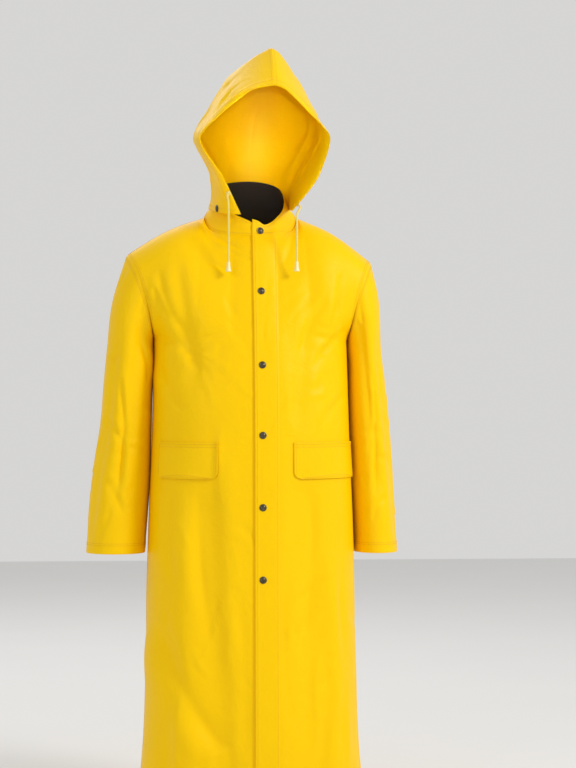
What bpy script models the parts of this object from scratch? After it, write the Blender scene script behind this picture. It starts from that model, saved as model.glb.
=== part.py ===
"""Hooded raincoat, filled out and open as on a wearer.

Metres, +Z up. The front faces -Y and +X is the wearer's left. The origin is the
point in the neck where the wearer's shoulders carry the coat. Every piece of
cloth is a thin closed wall made from a grid of points on its outer face, and
pieces that are sewn together share their seam's points, GAP apart.
"""
from collections import namedtuple
import math

import bpy
import numpy as np

MM = 0.001
WALL = 1.6 * MM                 # coated cloth
GAP = 0.3 * MM                  # between two pieces
LAYER = WALL + GAP              # from one layer to the layer that lies on it
FOLDED = 0.45                   # cosine past which two sewn pieces fold back on each other
RIM_SPLIT = np.array([0.37, 0.61, 0.70])    # the same split on both rims of a seam
LEFT, RIGHT = 1, -1             # the wearer's sides, as signs of X

# ---- body: one row for each level ring, from the hem up ----------------------
Ring = namedtuple("Ring", "height half_width front back side_seam")
BODY_RINGS = (
    Ring(-1.215, 0.236, -0.182, 0.124, -0.012),
    Ring(-1.120, 0.228, -0.183, 0.113, -0.012),
    Ring(-0.940, 0.222, -0.179, 0.113, -0.010),
    Ring(-0.660, 0.216, -0.170, 0.114, -0.006),
    Ring(-0.476, 0.209, -0.166, 0.107, 0.000),
    Ring(-0.356, 0.206, -0.156, 0.122, 0.006),
    Ring(-0.275, 0.2045, -0.143, 0.130, 0.012),
)
ROUNDNESS = 2.35                # exponent of the rings' superellipse
FLAP_TOP, FLAP_BOTTOM = -0.485, -0.560
LEVELS = (-1.215, -1.165, -1.10, -1.03, -0.96, -0.89, -0.82, -0.75, -0.69, -0.63, -0.59,
          FLAP_BOTTOM, -0.546, -0.515, FLAP_TOP, -0.44, -0.395, -0.355, -0.315, -0.275)

# ---- yoke: from the armpits to the shoulder seams and the neckline -----------
YOKE_ROWS = 10
NECK_WIDTH = 0.097              # half width of the neckline
NECK_SIDE_Y = 0.010
NECK_FRONT_Y, NECK_BACK_Y = -0.076, 0.072
NECK_LINE = ((-0.076, -0.054), (-0.032, -0.040), (0.010, -0.012), (0.038, 0.003), (0.072, 0.012))
SHOULDER_TIPS = {LEFT: (0.257, 0.012, -0.107), RIGHT: (0.262, 0.012, -0.093)}
SHOULDER_RISE = 0.009           # how far the shoulder seam bows up
CHEST_LINE = ((-0.143, -0.275), (-0.133, -0.235), (-0.116, -0.178), (-0.103, -0.128),
              (-0.091, -0.084), (NECK_FRONT_Y, -0.054))
BACK_LINE = ((0.130, -0.275), (0.129, -0.215), (0.122, -0.158), (0.110, -0.100),
             (0.095, -0.045), (NECK_BACK_Y, 0.012))
ARMHOLE_FRONT = ((0.2045, 0.012, -0.275), (0.210, -0.048, -0.243), (0.224, -0.066, -0.182),
                 (0.245, -0.048, -0.124))
ARMHOLE_BACK = ((0.2045, 0.012, -0.275), (0.211, 0.074, -0.240), (0.228, 0.090, -0.180),
                (0.247, 0.070, -0.122))
FULLNESS = 0.5                  # how far the shoulders round over, of a quarter ellipse

# ---- columns of the panels ---------------------------------------------------
STUD_LINE = 0.0145              # the studs' line, a little to the left as the coat hangs
LAP = STUD_LINE + 0.035         # the right front runs under to here
LAP_EDGE = STUD_LINE - 0.016    # the left front's edge
LAP_COLUMNS = (LAP_EDGE, STUD_LINE, STUD_LINE + 0.017, LAP)      # on the left, which laps over
UNDERLAP_COLUMNS = (*(-x for x in reversed(LAP_COLUMNS)), 0.046)  # on the right, measured to the right
FRONT_NECK_STEPS, BACK_NECK_STEPS, SHOULDER_STEPS = 3, 5, 7
FRONT_STEPS = FRONT_NECK_STEPS + SHOULDER_STEPS

# ---- sleeves: one row for each ring, tilted from level by an angle -----------
SleeveRing = namedtuple("SleeveRing", "name x y z half_width half_depth tilt")
RIGHT_SLEEVE = (
    SleeveRing("cap", 0.2503, 0.014, -0.2405, 0.0618, 0.079, 47),
    SleeveRing("biceps", 0.2570, 0.015, -0.305, 0.0490, 0.079, 18),
    SleeveRing("upper", 0.2615, 0.017, -0.376, 0.0500, 0.080, 7),
    SleeveRing("elbow", 0.2660, 0.018, -0.456, 0.0520, 0.081, 2),
    SleeveRing("forearm", 0.2745, 0.017, -0.560, 0.0590, 0.080, 0),
    SleeveRing("wrist", 0.2840, 0.013, -0.640, 0.0580, 0.076, 0),
    SleeveRing("cuff", 0.2900, 0.009, -0.720, 0.0565, 0.072, 0),
)
LEFT_SLEEVE = (
    SleeveRing("cap", 0.2410, 0.014, -0.2400, 0.0600, 0.079, 57),
    SleeveRing("biceps", 0.2450, 0.017, -0.306, 0.0380, 0.081, 25),
    SleeveRing("upper", 0.2505, 0.020, -0.377, 0.0395, 0.084, 10),
    SleeveRing("elbow", 0.2550, 0.022, -0.456, 0.0415, 0.086, 3),
    SleeveRing("forearm", 0.2600, 0.021, -0.560, 0.0445, 0.085, 0),
    SleeveRing("wrist", 0.2655, 0.016, -0.640, 0.0440, 0.081, 0),
    SleeveRing("cuff", 0.2700, 0.011, -0.720, 0.0430, 0.077, 0),
)

# ---- collar ------------------------------------------------------------------
# The collar's height by how far left of the centre it is, at the front, for each of its ends
COLLAR_HEIGHTS = {
    LEFT: ((-0.002, 0.034), (0.014, 0.030), (0.031, 0.021), (0.050, 0.024), (0.075, 0.035), (0.097, 0.041)),
    RIGHT: ((-0.046, 0.019), (-0.014, 0.022), (0.015, 0.030), (0.050, 0.034), (0.075, 0.038), (0.097, 0.041)),
}
COLLAR_BACK_HEIGHT = 0.050
COLLAR_LEAN = ((0.0, 1.0, 1.0), (0.38, 0.84, 0.965), (1.0, 0.75, 0.92))  # height, width, depth
LINING = 1.0 * MM
FACING_DROP = 0.040             # how far the lining goes down inside the neck, at the back

# ---- hood: one row for each section, from the hem up to the top seam ---------
HoodRow = namedtuple("HoodRow", "name lean edge_x edge_y edge_z side_x side_y side_z back_y back_z")
HOOD_LEFT = (
    HoodRow("hem", 0.000, 0.080, -0.096, -0.004, 0.0810, 0.010, 0.005, 0.0744, 0.013),
    HoodRow("throat", 0.000, 0.104, -0.114, 0.023, 0.0870, 0.008, 0.046, 0.0765, 0.056),
    HoodRow("cheek", 0.002, 0.133, -0.140, 0.066, 0.1060, -0.004, 0.096, 0.0700, 0.118),
    HoodRow("corner", 0.010, 0.1525, -0.180, 0.141, 0.1360, -0.040, 0.152, 0.0600, 0.190),
    HoodRow("temple", 0.022, 0.111, -0.192, 0.186, 0.1320, -0.050, 0.205, 0.0490, 0.248),
    HoodRow("brow", 0.032, 0.078, -0.199, 0.218, 0.0980, -0.066, 0.268, 0.0300, 0.305),
    HoodRow("crest", 0.035, 0.056, -0.201, 0.2385, 0.0580, -0.086, 0.322, 0.0080, 0.331),
    HoodRow("ridge", 0.036, 0.035, -0.202, 0.245, 0.0380, -0.100, 0.334, -0.020, 0.345),
)
HOOD_RIGHT = (
    HoodRow("hem", 0.000, 0.026, -0.097, -0.012, 0.0810, 0.010, 0.005, 0.0744, 0.013),
    HoodRow("throat", 0.000, 0.044, -0.106, 0.024, 0.0820, 0.008, 0.046, 0.0765, 0.056),
    HoodRow("cheek", -0.002, 0.067, -0.130, 0.066, 0.0900, -0.010, 0.088, 0.0700, 0.118),
    HoodRow("corner", -0.010, 0.1145, -0.182, 0.134, 0.1240, -0.056, 0.145, 0.0600, 0.190),
    HoodRow("temple", -0.022, 0.073, -0.190, 0.184, 0.0960, -0.058, 0.202, 0.0490, 0.248),
    HoodRow("brow", -0.032, 0.023, -0.197, 0.225, 0.0560, -0.072, 0.265, 0.0300, 0.305),
    HoodRow("crest", -0.035, -0.001, -0.200, 0.2385, -0.0010, -0.088, 0.315, 0.0080, 0.331),
    HoodRow("ridge", -0.036, -0.035, -0.202, 0.245, -0.0380, -0.100, 0.334, -0.020, 0.345),
)
HOOD_STEP = 1.45 * WALL + 1.3 * GAP    # the hood's outer face at its hem, from the collar it lies on
HOOD_EDGE_STEPS = 5             # columns from the front edge to the side line
TUNNEL_WALL = 3.0 * MM          # the folded edge that holds the drawcord
TUNNEL_COLUMNS = 1

# ---- creases: soft troughs (and ridges, where the depth is negative) ----------
Crease = namedtuple("Crease", "across height to_across to_height reach depth")
EDGES = {"first_row": np.s_[0, :], "last_row": np.s_[-1, :],
         "first_column": np.s_[:, 0], "last_column": np.s_[:, -1]}
FRONT_SEAMS = ("last_row", "last_column")
BACK_SEAMS = ("last_row", "first_column", "last_column")
FRONT_CREASES = (
    Crease(-0.155, -0.150, -0.130, -0.330, 0.016, 0.007),
    Crease(-0.100, -0.640, -0.060, -1.215, 0.034, 0.009),
    Crease(-0.150, -0.700, -0.140, -1.215, 0.026, -0.006),
    Crease(0.105, -0.620, 0.120, -1.215, 0.030, 0.008),
    Crease(0.165, -0.760, 0.175, -1.215, 0.024, -0.005),
    Crease(0.120, -0.180, 0.090, -0.400, 0.020, 0.005),
    Crease(-0.060, -0.560, -0.050, -0.900, 0.022, -0.004),
)
BACK_CREASES = (
    Crease(-0.120, -0.150, -0.060, -0.420, 0.024, 0.007),
    Crease(0.130, -0.170, 0.050, -0.450, 0.024, 0.007),
    Crease(-0.080, -0.600, -0.100, -1.215, 0.034, 0.010),
    Crease(0.070, -0.560, 0.110, -1.215, 0.032, 0.009),
    Crease(0.000, -0.700, 0.010, -1.215, 0.030, -0.007),
)
# Sleeve creases lie across an angle round the sleeve, 0 at the armpit, 180 outside.
SLEEVE_CREASES = (
    Crease(70, -0.270, 100, -0.560, 16, 0.006),
    Crease(130, -0.330, 150, -0.640, 14, 0.005),
    Crease(250, -0.230, 300, -0.420, 18, 0.006),
    Crease(215, -0.400, 230, -0.680, 15, 0.005),
)

# ---- pocket flaps, by column and level of the front they lie on ---------------
FLAP_WALL = 2.0 * MM
FLAP_COLUMNS = {LEFT: (4, 12), RIGHT: (5, 11)}
FLAP_CORNER = 0.35              # share of a cell cut off at the lower corners

# ---- press studs, eyelets and drawcord ---------------------------------------
STUD_RADIUS = 7.5 * MM
STUD_RIM, STUD_DOME = 1.0 * MM, 2.4 * MM
STUD_SIDES = 14
STUD_LEVELS = (-0.0445, -0.172, -0.3255, -0.470, -0.618, -0.766)
HOOD_STUDS = {"front": (3, 0.45), "back": (7, 0.90)}    # hood column and row
EYELET_OUTER, EYELET_INNER, EYELET_WALL = 4.8 * MM, 2.7 * MM, 1.0 * MM
EYELET_SIDES = 16
EYELET_ROWS = {LEFT: 1.0, RIGHT: 2.4}                    # hood row of each eyelet
EYELET_COLUMN = 0.42            # within the tunnel at the front edge
CORD_RADIUS = 2.25 * MM
CORD_ENDS = {LEFT: -0.111, RIGHT: -0.112}                # height where the tip begins
CORD_FALLS = {LEFT: (0.0885, -0.119), RIGHT: (-0.053, -0.116)}    # where each cord hangs
CORD_DROP = 0.026               # how far it falls while it bends out of its eyelet
CORD_PULL = 0.015               # how strongly it leaves along the eyelet, and then falls
TIP_PROFILE = ((0.0030, 0.0), (0.0036, -0.002), (0.0040, -0.010), (0.0060, -0.0185), (0.0056, -0.020))
TIP_SIDES = 12


# ---- finishes: colour, roughness, metallic ------------------------------------
FINISHES = {
    "yellow_cloth": ((0.90, 0.60, 0.0), 0.45, 0.0),
    "dark_lining": ((0.012, 0.010, 0.009), 0.9, 0.0),
    "dark_metal": ((0.05, 0.04, 0.035), 0.35, 1.0),
    "pale_cord": ((0.88, 0.85, 0.55), 0.8, 0.0),
    "pale_plastic": ((0.88, 0.85, 0.62), 0.4, 0.0),
}


# ---- curves and grids ----------------------------------------------------------
def through(stations, values, at, ease=1.0):
    """Values at the places `at` on a smooth curve through `values` at `stations`."""
    stations, values, at = (np.asarray(item, float) for item in (stations, values, at))
    steps = np.diff(stations)
    column = (-1,) + (1,) * (values.ndim - 1)
    rise = np.diff(values, axis=0) / steps.reshape(column)
    share = (steps[:-1] / (steps[:-1] + steps[1:])).reshape(column)
    slope = np.concatenate((rise[:1], (1 - share) * rise[:-1] + share * rise[1:], rise[-1:])) * ease
    cell = np.clip(np.searchsorted(stations, at, side="right") - 1, 0, len(steps) - 1)
    width = steps[cell].reshape(column)
    t = ((at - stations[cell]) / steps[cell]).reshape(column)
    low, high = values[cell], values[cell + 1]
    return ((1 + 2 * t) * (1 - t) ** 2 * low + t * (1 - t) ** 2 * width * slope[cell]
            + t * t * (3 - 2 * t) * high + t * t * (t - 1) * width * slope[cell + 1])


def evenly(knots, count, ease=1.0):
    """`count` + 1 points evenly spread over a smooth curve through knots."""
    return through(range(len(knots)), knots, np.linspace(0, len(knots) - 1, count + 1), ease)


def unit(vectors):
    """Vectors at length one."""
    return vectors / np.linalg.norm(vectors, axis=-1, keepdims=True)


def grid_normals(points, wrap=False):
    """Unit normals of a grid of points, by its rows and columns."""
    if wrap:
        across = np.roll(points, -1, axis=1) - np.roll(points, 1, axis=1)
    else:
        across = np.gradient(points, axis=1)
    normals = np.cross(across, np.gradient(points, axis=0))
    length = np.linalg.norm(normals, axis=2, keepdims=True)
    return normals / np.maximum(length, 1e-12)


def creased(points, creases, across, height, sewn, wrap=False):
    """The grid moved along its normals by soft creases, in its own two coordinates.

    Its sewn edges stay on their seams.
    """
    depth = np.zeros(points.shape[:2])
    for crease in creases:
        scale = np.array([1.0 / crease.reach, 1.0 / (2.2 * abs(crease.reach))])
        if wrap:
            scale[1] = 1.0 / 0.05
        start = np.array([crease.across, crease.height]) * scale
        run = np.array([crease.to_across, crease.to_height]) * scale - start
        place = np.stack((across, height), axis=-1) * scale - start
        share = np.clip((place @ run) / (run @ run), 0.0, 1.0)
        away = np.linalg.norm(place - share[..., None] * run, axis=-1)
        depth += crease.depth * np.exp(-away ** 2)
    for name in sewn:
        depth[EDGES[name]] = 0.0
    return points - depth[..., None] * outward(points, wrap)


def outward(points, wrap=False):
    """Grid normals, turned to point away from the garment's hollow."""
    normals = grid_normals(points, wrap)
    middle = points.mean(axis=(0, 1)) if wrap else np.array([0.0, 0.0, points[..., 2].mean()])
    facing = np.einsum("ijk,ijk->", normals, points - middle)
    return normals if facing > 0 else -normals


# ---- outline of the body and the yoke --------------------------------------------
def body_size(height):
    """Half width, front, back and side seam of the body at a height."""
    heights = [ring.height for ring in BODY_RINGS]
    return through(heights, [ring[1:] for ring in BODY_RINGS], [height])[0]


def ring_points(height, depth_to, columns, steps):
    """Points of half a level ring: fixed columns near the centre, then `steps` to the side."""
    half_width, front, back, side = body_size(height)
    reach = (front if depth_to == "front" else back) - side
    power = 2 / ROUNDNESS
    near = [math.copysign(math.asin((abs(x) / half_width) ** (1 / power)), x) for x in columns]
    far = np.linspace(near[-1], math.pi / 2, steps + 1)[1:]
    angles = np.array(near + list(far))
    x = half_width * np.sign(angles) * np.abs(np.sin(angles)) ** power
    y = side + reach * np.abs(np.cos(angles)) ** power
    return np.stack((x, y, np.full(len(x), height)), axis=1)


def neck_points(columns, steps, end_y):
    """Points of the neckline from near the centre to the shoulder seam."""
    near = [math.asin(x / NECK_WIDTH) for x in columns]
    angles = np.array(near + list(np.linspace(near[-1], math.pi / 2, steps + 1)[1:]))
    y = NECK_SIDE_Y + (end_y - NECK_SIDE_Y) * np.cos(angles)
    line = np.array(NECK_LINE)
    return np.stack((NECK_WIDTH * np.sin(angles), y, through(line[:, 0], line[:, 1], y)), axis=1)


def armholes(side):
    """The front and the back of an armhole, each from the armpit to the shoulder's tip."""
    tip = SHOULDER_TIPS[side]
    loop = evenly([*ARMHOLE_FRONT, tip, *reversed(ARMHOLE_BACK)], 2 * YOKE_ROWS)
    return loop[:YOKE_ROWS + 1], loop[:YOKE_ROWS - 1:-1]


def shoulder_points(side):
    """Points of the shoulder seam, from the neck out to the tip."""
    start = neck_points((0.0,), 1, NECK_FRONT_Y)[-1]
    share = np.linspace(0, 1, SHOULDER_STEPS + 1)[1:, None]
    points = start + (np.array(SHOULDER_TIPS[side]) - start) * share
    points[:, 2] += SHOULDER_RISE * np.sin(math.pi * share[:, 0])
    return points


def half_panel(face, wearers, columns, neck_steps):
    """Half a front or back, drawn on the +X side, from the hem to the neck and shoulder."""
    steps = neck_steps + SHOULDER_STEPS
    centre_line, end_y = (CHEST_LINE, NECK_FRONT_Y) if face == "front" else (BACK_LINE, NECK_BACK_Y)
    rows = [ring_points(height, face, columns, steps) for height in LEVELS]
    top = np.concatenate((neck_points(columns, neck_steps, end_y), shoulder_points(wearers)))
    bottom = rows[-1]
    centre = evenly([(0.0, y, z) for y, z in centre_line], YOKE_ROWS)
    side = armholes(wearers)[0 if face == "front" else 1]
    side_share = np.array([0.0] * (len(columns) - 1) + list(np.linspace(0, 1, steps + 1)))[:, None]
    for row in range(1, YOKE_ROWS + 1):
        rise = row / YOKE_ROWS
        turn = rise * math.pi / 2
        fuller = (1 - math.cos(turn) - rise, 1 - math.cos(turn) - rise, math.sin(turn) - rise)
        centre_bow = centre[row] - (1 - rise) * centre[0] - rise * centre[-1]
        side_bow = side[row] - (1 - rise) * side[0] - rise * side[-1]
        rows.append((1 - rise) * bottom + rise * top
                    + FULLNESS * np.sin(math.pi * side_share) * (top - bottom) * fuller
                    + (1 - side_share) * centre_bow + side_share * side_bow)
    return np.array(rows)


def mirrored(points):
    """The grid on the other side of the centre plane."""
    return points * np.array([-1.0, 1.0, 1.0])


def front_grid(side):
    """The outer face of one front, before it is lapped: columns from its edge to the side."""
    columns = LAP_COLUMNS if side == LEFT else UNDERLAP_COLUMNS
    points = half_panel("front", side, columns, FRONT_NECK_STEPS)
    if side == RIGHT:
        points = mirrored(points)
    return creased(points, FRONT_CREASES, points[..., 0], points[..., 2], FRONT_SEAMS)


def back_grid():
    """The outer face of the back, from side seam to side seam."""
    left, right = (half_panel("back", side, (0.0,), BACK_NECK_STEPS) for side in (LEFT, RIGHT))
    points = np.concatenate((mirrored(right)[:, :0:-1], left), axis=1)
    return creased(points, BACK_CREASES, points[..., 0], points[..., 2], BACK_SEAMS)


def sleeve_grid(side):
    """The outer face of a sleeve: rows from the armhole to the cuff, columns round it."""
    front, back = armholes(side)
    loops = [np.concatenate((front, back[-2:0:-1]))]
    turn = np.arange(2 * YOKE_ROWS) * math.pi / YOKE_ROWS
    for ring in (LEFT_SLEEVE if side == LEFT else RIGHT_SLEEVE):
        tilt = math.radians(ring.tilt)
        x = ring.x - ring.half_width * np.cos(turn) * math.cos(tilt)
        y = ring.y - ring.half_depth * np.sin(turn)
        z = ring.z - ring.half_width * np.cos(turn) * math.sin(tilt)
        loops.append(np.stack((x, y, z), axis=1))
    points = evenly(loops, 2 * (len(loops) - 1))
    angles = np.tile(np.degrees(turn), (len(points), 1))
    points = creased(points, SLEEVE_CREASES, angles, points[..., 2], ("first_row",), wrap=True)
    return points if side == LEFT else mirrored(points)


# ---- collar and hood -----------------------------------------------------------
def collar_grid():
    """The collar's outer face, from its right end round the back to its left end."""
    back = neck_points((0.0,), BACK_NECK_STEPS, NECK_BACK_Y)
    left, right = (np.concatenate((neck_points(columns, FRONT_NECK_STEPS, NECK_FRONT_Y), back[-2::-1]))
                   for columns in (LAP_COLUMNS, UNDERLAP_COLUMNS))
    seam = np.concatenate((mirrored(right), left[-2::-1]))
    ends = np.concatenate((np.full(len(right) - 1, RIGHT), np.full(len(left), LEFT)))[:len(seam)]
    fronts = {side: np.array(COLLAR_HEIGHTS[side]) for side in (LEFT, RIGHT)}
    height = np.array([np.interp(side * x, fronts[side][:, 0], fronts[side][:, 1])
                       for side, x in zip(ends, seam[:, 0])])
    behind = np.clip((seam[:, 1] - NECK_SIDE_Y) / (NECK_BACK_Y - NECK_SIDE_Y), 0, 1)
    side_height = COLLAR_HEIGHTS[LEFT][-1][1]
    height = np.where(seam[:, 1] > NECK_SIDE_Y,
                      side_height + (COLLAR_BACK_HEIGHT - side_height) * behind, height)
    return np.array([seam * (width, depth, 1.0) + np.outer(height * step, (0, 0, 1))
                     for step, width, depth in COLLAR_LEAN])


def on_collar(column, height):
    """The point just outside the collar's back at a height, by column from the shoulder seam."""
    collar = collar_grid()
    middle = collar.shape[1] - 1 - (len(LAP_COLUMNS) - 1) - FRONT_NECK_STEPS - BACK_NECK_STEPS
    line = collar[:, middle + BACK_NECK_STEPS - column]
    level = np.clip(height, line[0, 2], line[-1, 2])
    x, y = (np.interp(level, line[:, 2], line[:, axis]) for axis in (0, 1))
    away = np.array([x / NECK_WIDTH ** 2, (y - NECK_SIDE_Y) / NECK_BACK_Y ** 2])
    x, y = np.array([x, y]) + away / np.linalg.norm(away) * HOOD_STEP
    return np.array([x, y, height])


def hood_section(row, side):
    """One section of a hood half: from the front edge round the side to the back seam."""
    edge = np.array([row.edge_x, row.edge_y, row.edge_z])
    flank = np.array([row.side_x, row.side_y, row.side_z])
    seam = np.array([row.lean, row.back_y, row.back_z])
    if row.name == "hem":
        flank, seam = on_collar(0, row.side_z), on_collar(BACK_NECK_STEPS, row.back_z)
    turn = np.linspace(0, math.pi / 2, HOOD_EDGE_STEPS + 1)[:, None]
    out, along = np.array([1.0, 0.0, 0.0]), np.array([0.0, 1.0, 1.0])
    front = edge + (flank - edge) * (out * np.sin(turn) + along * (1 - np.cos(turn)))
    turn = np.linspace(0, math.pi / 2, BACK_NECK_STEPS + 1)[1:, None]
    back = flank + (seam - flank) * (out * (1 - np.cos(turn)) + along * np.sin(turn))
    if row.name == "hem":
        back = np.array([on_collar(column + 1, point[2]) for column, point in enumerate(back)])
    section = np.concatenate((front, back))
    return section if side == LEFT else mirrored(section)


def hood_grid(side):
    """The outer face of a hood half: rows from the hem up to the top seam."""
    table = HOOD_LEFT if side == LEFT else HOOD_RIGHT
    return evenly([hood_section(row, side) for row in table], 2 * (len(table) - 1), ease=0.8)


def crown_normals(points):
    """Normals of a hood half; those on its top and back seam lean with the cloth beside them."""
    normals = outward(points)
    normals[-1] = normals[-2]
    normals[:, -1] = normals[:, -2]
    normals[-1, -1] = normals[-2, -2]
    return normals


# ---- walls -----------------------------------------------------------------------
class Wall:
    """A closed wall of cloth on a grid of points, with its sewn edges held back by half a gap."""

    def __init__(self, name, points, finish, sewn=(), wrap=False, thickness=WALL, lift=0.0,
                 normals=None, slant=1):
        self.name, self.points, self.finish = name, points.copy(), finish
        self.sewn, self.wrap, self.slant = sewn, wrap, slant
        self.thickness = np.broadcast_to(thickness, points.shape[1])
        self.lift = np.broadcast_to(lift, points.shape[1])
        self.normals = outward(points, wrap) if normals is None else normals.copy()

    def edge(self, name):
        """Rows and columns of an edge, with the step that leads into the panel."""
        rows, columns = self.points.shape[:2]
        return {"first_row": [((0, j), (1, 0)) for j in range(columns)],
                "last_row": [((rows - 1, j), (-1, 0)) for j in range(columns)],
                "first_column": [((i, 0), (0, 1)) for i in range(rows)],
                "last_column": [((i, columns - 1), (0, -1)) for i in range(rows)]}[name]

    def faces(self):
        """The outer and inner points of the wall."""
        points = self.points.copy()
        along_columns = (np.roll(points, -1, 1) - np.roll(points, 1, 1)) if self.wrap \
            else np.gradient(points, axis=1)
        along_rows = np.gradient(points, axis=0)
        for name in self.sewn:
            seam_run = along_columns if name.endswith("row") else along_rows
            for (i, j), (down, right) in self.edge(name):
                k, m = i, j
                if down and not self.wrap:
                    m = min(max(j, 1), self.points.shape[1] - 2)
                if right:
                    k = min(max(i, 1), len(self.points) - 2)
                inward = self.points[k + down, m + right] - self.points[k, m]
                for axis in (seam_run[i, j], self.normals[i, j]):
                    axis = axis / np.linalg.norm(axis)
                    inward = inward - (inward @ axis) * axis
                points[i, j] += inward / np.linalg.norm(inward) * GAP / 2
        lift = self.lift[None, :, None]
        return (points + lift * self.normals,
                points + (lift - self.thickness[None, :, None]) * self.normals)

    def at(self, row, column, raised=0.0):
        """A point on the outer face, and its normal, by fractional row and column."""
        outer = self.faces()[0]
        i, j = min(int(row), len(outer) - 2), min(int(column), outer.shape[1] - 2)
        s, t = row - i, column - j
        low, high = outer[i, j:j + 2], outer[i + 1, j:j + 2]
        left, right = low[0] + (high[0] - low[0]) * s, low[1] + (high[1] - low[1]) * s
        upward = (high[0] - low[0]) * (1 - t) + (high[1] - low[1]) * t
        normal = np.cross(right - left, upward)
        normal *= math.copysign(1.0, normal @ self.normals[i, j]) / np.linalg.norm(normal)
        return left + (right - left) * t + normal * raised, normal

    def row_at(self, column, height):
        """The fractional row at which a column of the outer face reaches a height."""
        heights = self.faces()[0][:, column, 2]
        return float(np.interp(height, heights, range(len(heights))))

    def build(self):
        """The wall as a closed mesh object."""
        outer, inner = self.faces()
        rows, columns = outer.shape[:2]
        vertices = np.concatenate((outer.reshape(-1, 3), inner.reshape(-1, 3)))
        below = rows * columns
        last = columns if self.wrap else columns - 1
        faces = []
        for i in range(rows - 1):
            for j in range(last):
                a, b = i * columns + j, i * columns + (j + 1) % columns
                d, c = a + columns, b + columns
                split = ((a, b, c), (a, c, d)) if self.slant > 0 else ((a, b, d), (b, c, d))
                for face in split:
                    faces += [face, tuple(below + k for k in reversed(face))]
        rim = []
        for j in range(last):
            beside = (j + 1) % columns
            rim += [(beside, j), ((rows - 1) * columns + j, (rows - 1) * columns + beside)]
        for i in range(0 if self.wrap else rows - 1):
            a, b = i * columns, (i + 1) * columns
            rim += [(a, b), (b + columns - 1, a + columns - 1)]
        for a, b in rim:
            if (vertices[a] - vertices[b]) @ RIM_SPLIT > 0:
                faces += [(a, b, below + b), (a, below + b, below + a)]
            else:
                faces += [(a, b, below + a), (b, below + b, below + a)]
        return closed_object(self.name, vertices, faces, self.finish)


def share_normals(walls):
    """Give the walls that meet at a seam one normal there; a fold under the arm is lapped."""
    meeting = {}
    for wall in walls:
        for name in wall.sewn:
            for place, _ in wall.edge(name):
                key = tuple(np.round(wall.points[place], 6))
                meeting.setdefault(key, {})[(wall.name, place)] = wall
    for group in meeting.values():
        entries = [(wall, place) for (_, place), wall in group.items()]
        normals = np.array([wall.normals[place] for wall, place in entries])
        mean = normals.sum(axis=0)
        mean /= max(np.linalg.norm(mean), 1e-9)
        if (normals @ mean).min() >= FOLDED:
            for wall, place in entries:
                wall.normals[place] = mean
            continue
        body = [entry for entry in entries if not entry[0].wrap]
        mean = sum(wall.normals[place] for wall, place in body)
        mean /= np.linalg.norm(mean)
        for wall, place in entries:
            if wall.wrap:
                wall.points[place] += mean * GAP
            else:
                wall.normals[place] = mean


# ---- meshes ------------------------------------------------------------------------
def closed_object(name, vertices, faces, finish):
    """A mesh object from faces that all wind one way, turned so that they point out."""
    volume = sum(np.dot(vertices[face[0]], np.cross(vertices[b], vertices[c]))
                 for face in faces for b, c in zip(face[1:], face[2:]))
    if volume < 0:
        faces = [tuple(reversed(face)) for face in faces]
    mesh = bpy.data.meshes.new(name)
    mesh.from_pydata([tuple(v) for v in vertices], [], faces)
    mesh.shade_smooth()
    mesh.set_sharp_from_angle(angle=math.radians(50))
    thing = bpy.data.objects.new(name, mesh)
    bpy.context.scene.collection.objects.link(thing)
    thing.data.materials.append(material(finish))
    return thing


def material(finish):
    """The material of a finish, made once."""
    found = bpy.data.materials.get(finish)
    if found:
        return found
    colour, roughness, metallic = FINISHES[finish]
    made = bpy.data.materials.new(finish)
    made.use_nodes = True
    shader = made.node_tree.nodes["Principled BSDF"]
    shader.inputs["Base Color"].default_value = (*colour, 1.0)
    shader.inputs["Roughness"].default_value = roughness
    shader.inputs["Metallic"].default_value = metallic
    return made


def turned(name, profile, sides, seat, axis, finish, ring=False):
    """A turned solid: (radius, height) points spun round an axis that starts at its seat."""
    axis = np.asarray(axis, float) / np.linalg.norm(axis)
    across = np.cross(axis, (0.0, 0.0, 1.0) if abs(axis[2]) < 0.9 else (1.0, 0.0, 0.0))
    across /= np.linalg.norm(across)
    up = np.cross(axis, across)
    vertices, faces, loops = [], [], []
    for radius, height in profile:
        loops.append(range(len(vertices), len(vertices) + sides))
        for turn in np.arange(sides) * 2 * math.pi / sides:
            vertices.append(seat + axis * height + radius * (across * math.cos(turn) + up * math.sin(turn)))
    pairs = list(zip(loops, loops[1:])) + ([(loops[-1], loops[0])] if ring else [])
    for low, high in pairs:
        for k in range(sides):
            faces.append((low[k], low[(k + 1) % sides], high[(k + 1) % sides], high[k]))
    if not ring:
        faces += [tuple(reversed(loops[0])), tuple(loops[-1])]
    return closed_object(name, vertices, faces, finish)


def cord(name, route, finish):
    """A round cord along a route of points, with closed ends."""
    curve = bpy.data.curves.new(name, "CURVE")
    curve.dimensions = "3D"
    curve.bevel_depth = CORD_RADIUS
    curve.bevel_resolution = 2
    curve.use_fill_caps = True
    spline = curve.splines.new("POLY")
    spline.points.add(len(route) - 1)
    for point, place in zip(spline.points, route):
        point.co = (*place, 1.0)
    thing = bpy.data.objects.new(name, curve)
    bpy.context.scene.collection.objects.link(thing)
    curve.materials.append(material(finish))
    return thing


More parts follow.
